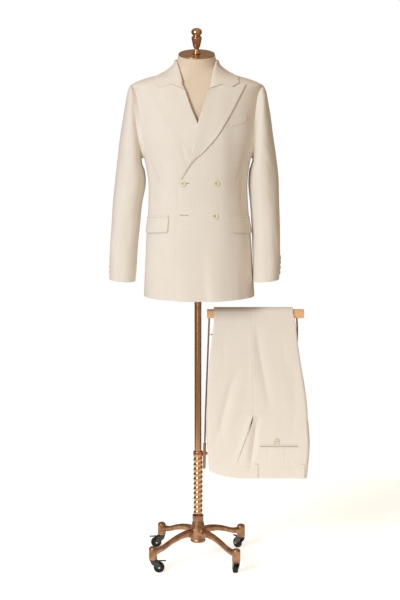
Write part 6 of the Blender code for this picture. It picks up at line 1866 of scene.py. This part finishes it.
class SUIT_OT_cap_finial(Builder):
    """Turns the neck cap and the finial"""
    bl_idname = "suit.cap_finial"
    bl_label = "Neck cap and finial"

    def build(self):
        cap = [(0.0, GAP), (NECK_R - 0.0012, GAP), (NECK_R, GAP + 0.0012),
               (NECK_R - 0.0004, CAP_THICK - 0.0012), (NECK_R - 0.002, CAP_THICK - 0.0004),
               (NECK_R - 0.0045, CAP_THICK - 0.0006), (0.0, CAP_THICK)]
        turned = (("cap", cap, 0.0008, 96, 0.0, "neck_cap"),
                  ("finial", FINIAL, 0.0016, 64, CAP_THICK + GAP, "finial"))
        for name, profile, soft, turns, high, node in turned:
            points, faces = lathe(rounded(profile, soft), turns)
            copper(name, (tilted(points + [0.0, 0.0, high]), faces), node, sharp=50)


class SUIT_OT_pole(Builder):
    """Draws the pole's copper-plated tube"""
    bl_idname = "suit.pole"
    bl_label = "Pole"

    def build(self):
        top = POLE_BOX[1].z
        profile = rounded([(POLE_R - POLE_WALL, POLE_LOW_Z), (POLE_R, POLE_LOW_Z), (POLE_R, top),
                           (POLE_R - POLE_WALL, top)], 0.0003)
        copper("pole", lathe(profile, 64), "pole")


class SUIT_OT_screw(Builder):
    """Cuts the height thread round the pole"""
    bl_idname = "suit.screw"
    bl_label = "Height thread"

    def build(self):
        copper("thread", thread_rings(), "screw", sharp=60)


class SUIT_OT_base(Builder):
    """Casts the hub, its four legs and the caster bosses in one piece"""
    bl_idname = "suit.base"
    bl_label = "Cast base"

    def build(self):
        mesh = cast_together("cast_base", base_shapes(), 0.0018, 4)
        piece("cast_base", mesh, aged_cast_copper(), body="base", nodes=("base",))


class SUIT_OT_casters(Builder):
    """Builds the four casters: enamelled forks and rubber wheels"""
    bl_idname = "suit.casters"
    bl_label = "Casters"

    def build(self):
        for word, (x, y) in leg_places().items():
            heading = math.radians(CASTER_HEADINGS[word])
            seat = Matrix.Translation((x, y, 0.0)) @ Matrix.Rotation(heading, 4, "Z")
            hard("enamel_fork_" + word, moved(merged(*fork_shapes()), seat), enamel_and_painted_shade(),
                 body="swivel_" + word, nodes=("fork_" + word,))
            hard("zinc_axle_" + word, moved(axle_shape(), seat), zinc_steel(),
                 body="swivel_" + word)
            hard("rubber_wheel_" + word, moved(wheel_shape(), seat), moulded_rubber(),
                 body="wheel_" + word, nodes=("wheel_" + word,))


class SUIT_OT_rail(Builder):
    """Builds the trouser rail: a beech bar on a copper frame clamped to the pole"""
    bl_idname = "suit.rail"
    bl_label = "Trouser rail"

    def build(self):
        hard("beech_bar", bar_shape(), varnished_beech(), nodes=("rail_bar",), sharp=50)
        for name, line in (("left", ROD_LEFT), ("right", ROD_RIGHT)):
            path = smooth_line([(x, 0.0, z) for x, z in line], 90)
            copper("rod_" + name, tube(path, ROD_R, 20), "rail_rod_" + name)
        ends = (ROD_LEFT[1][0] + ROD_R + GAP, ROD_RIGHT[2][0] - ROD_R - GAP)
        cross = [(x, 0.0, CROSS_ROD_Z) for x in np.linspace(*ends, 12)]
        copper("rod_cross", tube(cross, CROSS_ROD_R, 20), "rail_rod_cross")
        bore = POLE_R + GAP
        half = [(0.0158, 0.0), (0.0152, 0.008), (0.0146, 0.0095), (bore, 0.0095)]
        ring = moved(lathe([(r, -z) for r, z in half[:0:-1]] + half, 56), Matrix.Translation((0, 0, CLAMP_Z)))
        socket = tube([(0.0206, 0, 0.315), (0.0214, 0, 0.36), (0.0222, 0, 0.4005)], 0.0046, 28)
        lug = block((0.014, -0.0036, CLAMP_Z - 0.007), (0.025, 0.0036, CLAMP_Z + 0.007), 0.001)
        arm = block((0.023, -0.0034, CLAMP_Z - 0.004), (0.0316, 0.0034, CLAMP_Z + 0.006), 0.0012)
        mesh = cast_together("copper_clamp", [ring, socket, lug, arm], 0.0009, 3)
        piece("copper_clamp", mesh, satin_copper(), nodes=("rail_clamp",))


EYE, EYE_TURN, LENS = (0.0066, -5.0, 1.663), 81.05, 62.54     # metres from the pole, degrees, mm
LIT_MIDDLE = np.array([0.05, 0.0, 1.0])


def surround(strength, tint):
    """A white backdrop to the eye. As a light it is a dim warm room: brightest before the suit
    and overhead, dark at the sides and behind."""
    world = bpy.data.worlds.new("white_surround")
    world.use_nodes = True
    tree = world.node_tree
    tree.nodes.clear()
    way = add(tree, "ShaderNodeTexCoord").outputs["Generated"]
    axes = add(tree, "ShaderNodeSeparateXYZ", None, {0: way}).outputs
    room = worked(tree, "ADD", ranged(tree, axes["Y"], 0.6, 1.3, 0.3, -1.0),
                  ranged(tree, axes["Z"], 0.0, 1.2, 0.2))
    level = add(tree, "ShaderNodeMath", {"operation": "MULTIPLY", 1: strength}, {0: room})
    lit = add(tree, "ShaderNodeBackground", {"Color": tint}, {"Strength": level.outputs[0]})
    seen = add(tree, "ShaderNodeBackground", {"Color": (1.0, 1.0, 1.0, 1.0)})
    eye = add(tree, "ShaderNodeLightPath").outputs["Is Camera Ray"]
    both = add(tree, "ShaderNodeMixShader", None, {0: eye, 1: lit.outputs[0], 2: seen.outputs[0]})
    add(tree, "ShaderNodeOutputWorld", None, {"Surface": both.outputs[0]})
    return world


class SUIT_OT_stage(Builder):
    """Sets the white studio: floor, surround, lights and the camera"""
    bl_idname = "suit.stage"
    bl_label = "Studio"

    def build(self):
        scene = bpy.context.scene
        studio = scene.suit_studio
        square = [(x, y, 0.0) for x, y in ((-1, -1), (1, -1), (1, 1), (-1, 1))]        # 2 m by 2 m
        floor = bpy.data.objects.new("studio_floor", mesh_from("studio_floor", square, [[0, 1, 2, 3]]))
        floor.data.materials.append(painted_floor())
        staged(floor)
        scene.world = surround(studio.sky, full(studio.bounce))
        lights = (("key", studio.key, "DISK", 1.6, (-2.6, -3.7, 2.7)),
                  ("fill", studio.fill, "DISK", 2.0, (3.0, -3.0, 1.6)),
                  ("strip", studio.strip, "RECTANGLE", 0.3, (-0.86, -3.4, 0.85)))
        for name, watts, shape, size, place in lights:
            light = bpy.data.lights.new("studio_" + name, "AREA")
            light.shape = shape
            light.size = size
            light.size_y = 1.5
            light.energy = watts
            light.color = studio.daylight
            thing = bpy.data.objects.new("studio_" + name, light)
            look = (np.array(place) - LIT_MIDDLE) * (1.0, 1.0, name != "strip")
            thing.matrix_world = Matrix.Translation(tuple(np.array(place) + STAND)) @ facing(look)
            staged(thing)
        camera = bpy.data.cameras.new("studio_camera")
        camera.sensor_fit = "VERTICAL"
        camera.sensor_height = 24.0
        camera.lens = LENS
        thing = bpy.data.objects.new("studio_camera", camera)
        thing.location = np.array(EYE) + STAND
        thing.rotation_euler = (math.radians(EYE_TURN), 0.0, 0.0)
        staged(thing)
        scene.camera = thing
        scene.view_settings.view_transform = "Standard"


def staged(thing):
    bpy.context.scene.collection.objects.link(thing)


def facing(away):
    """A turn that points a light's -Z against a direction."""
    back = unit(np.asarray(away, float))
    right = unit(np.cross([0.0, 0.0, 1.0], back))
    return Matrix(np.column_stack([right, np.cross(back, right), back]).tolist()).to_4x4()


class SUIT_PT_panel(bpy.types.Panel):
    """Lists the suit's colours and builders"""
    bl_label = "Two-piece suit"
    bl_space_type = "VIEW_3D"
    bl_region_type = "UI"
    bl_category = "Suit"

    def draw(self, context):
        layout = self.layout
        for group in (context.scene.suit_cloth, context.scene.suit_stand, context.scene.suit_studio):
            box = layout.box()
            for name in group.bl_rna.properties.keys():
                if name not in ("rna_type", "name"):
                    box.prop(group, name)
        for builder in BUILDERS:
            layout.operator(builder.bl_idname)


BUILDERS = (SUIT_OT_form, SUIT_OT_fronts, SUIT_OT_sides_backs, SUIT_OT_lapels, SUIT_OT_collar,
            SUIT_OT_pockets, SUIT_OT_front_buttons, SUIT_OT_sleeves, SUIT_OT_cuffs, SUIT_OT_rail, SUIT_OT_trousers,
            SUIT_OT_waistband, SUIT_OT_trims, SUIT_OT_cap_finial, SUIT_OT_pole, SUIT_OT_screw, SUIT_OT_base,
            SUIT_OT_casters, SUIT_OT_stage)
GROUPS = {"suit_cloth": SuitCloth, "suit_stand": SuitStand, "suit_studio": SuitStudio}


def register():
    for kind in (*GROUPS.values(), *BUILDERS, SUIT_PT_panel):
        bpy.utils.register_class(kind)
    for name, kind in GROUPS.items():
        setattr(bpy.types.Scene, name, PointerProperty(type=kind))


def unregister():
    for name in GROUPS:
        delattr(bpy.types.Scene, name)
    for kind in (SUIT_PT_panel, *BUILDERS[::-1], *GROUPS.values()):
        bpy.utils.unregister_class(kind)


def main():
    register()
    for builder in BUILDERS:
        group, name = builder.bl_idname.split(".")
        getattr(getattr(bpy.ops, group), name)()


if __name__ == "__main__":
    main()
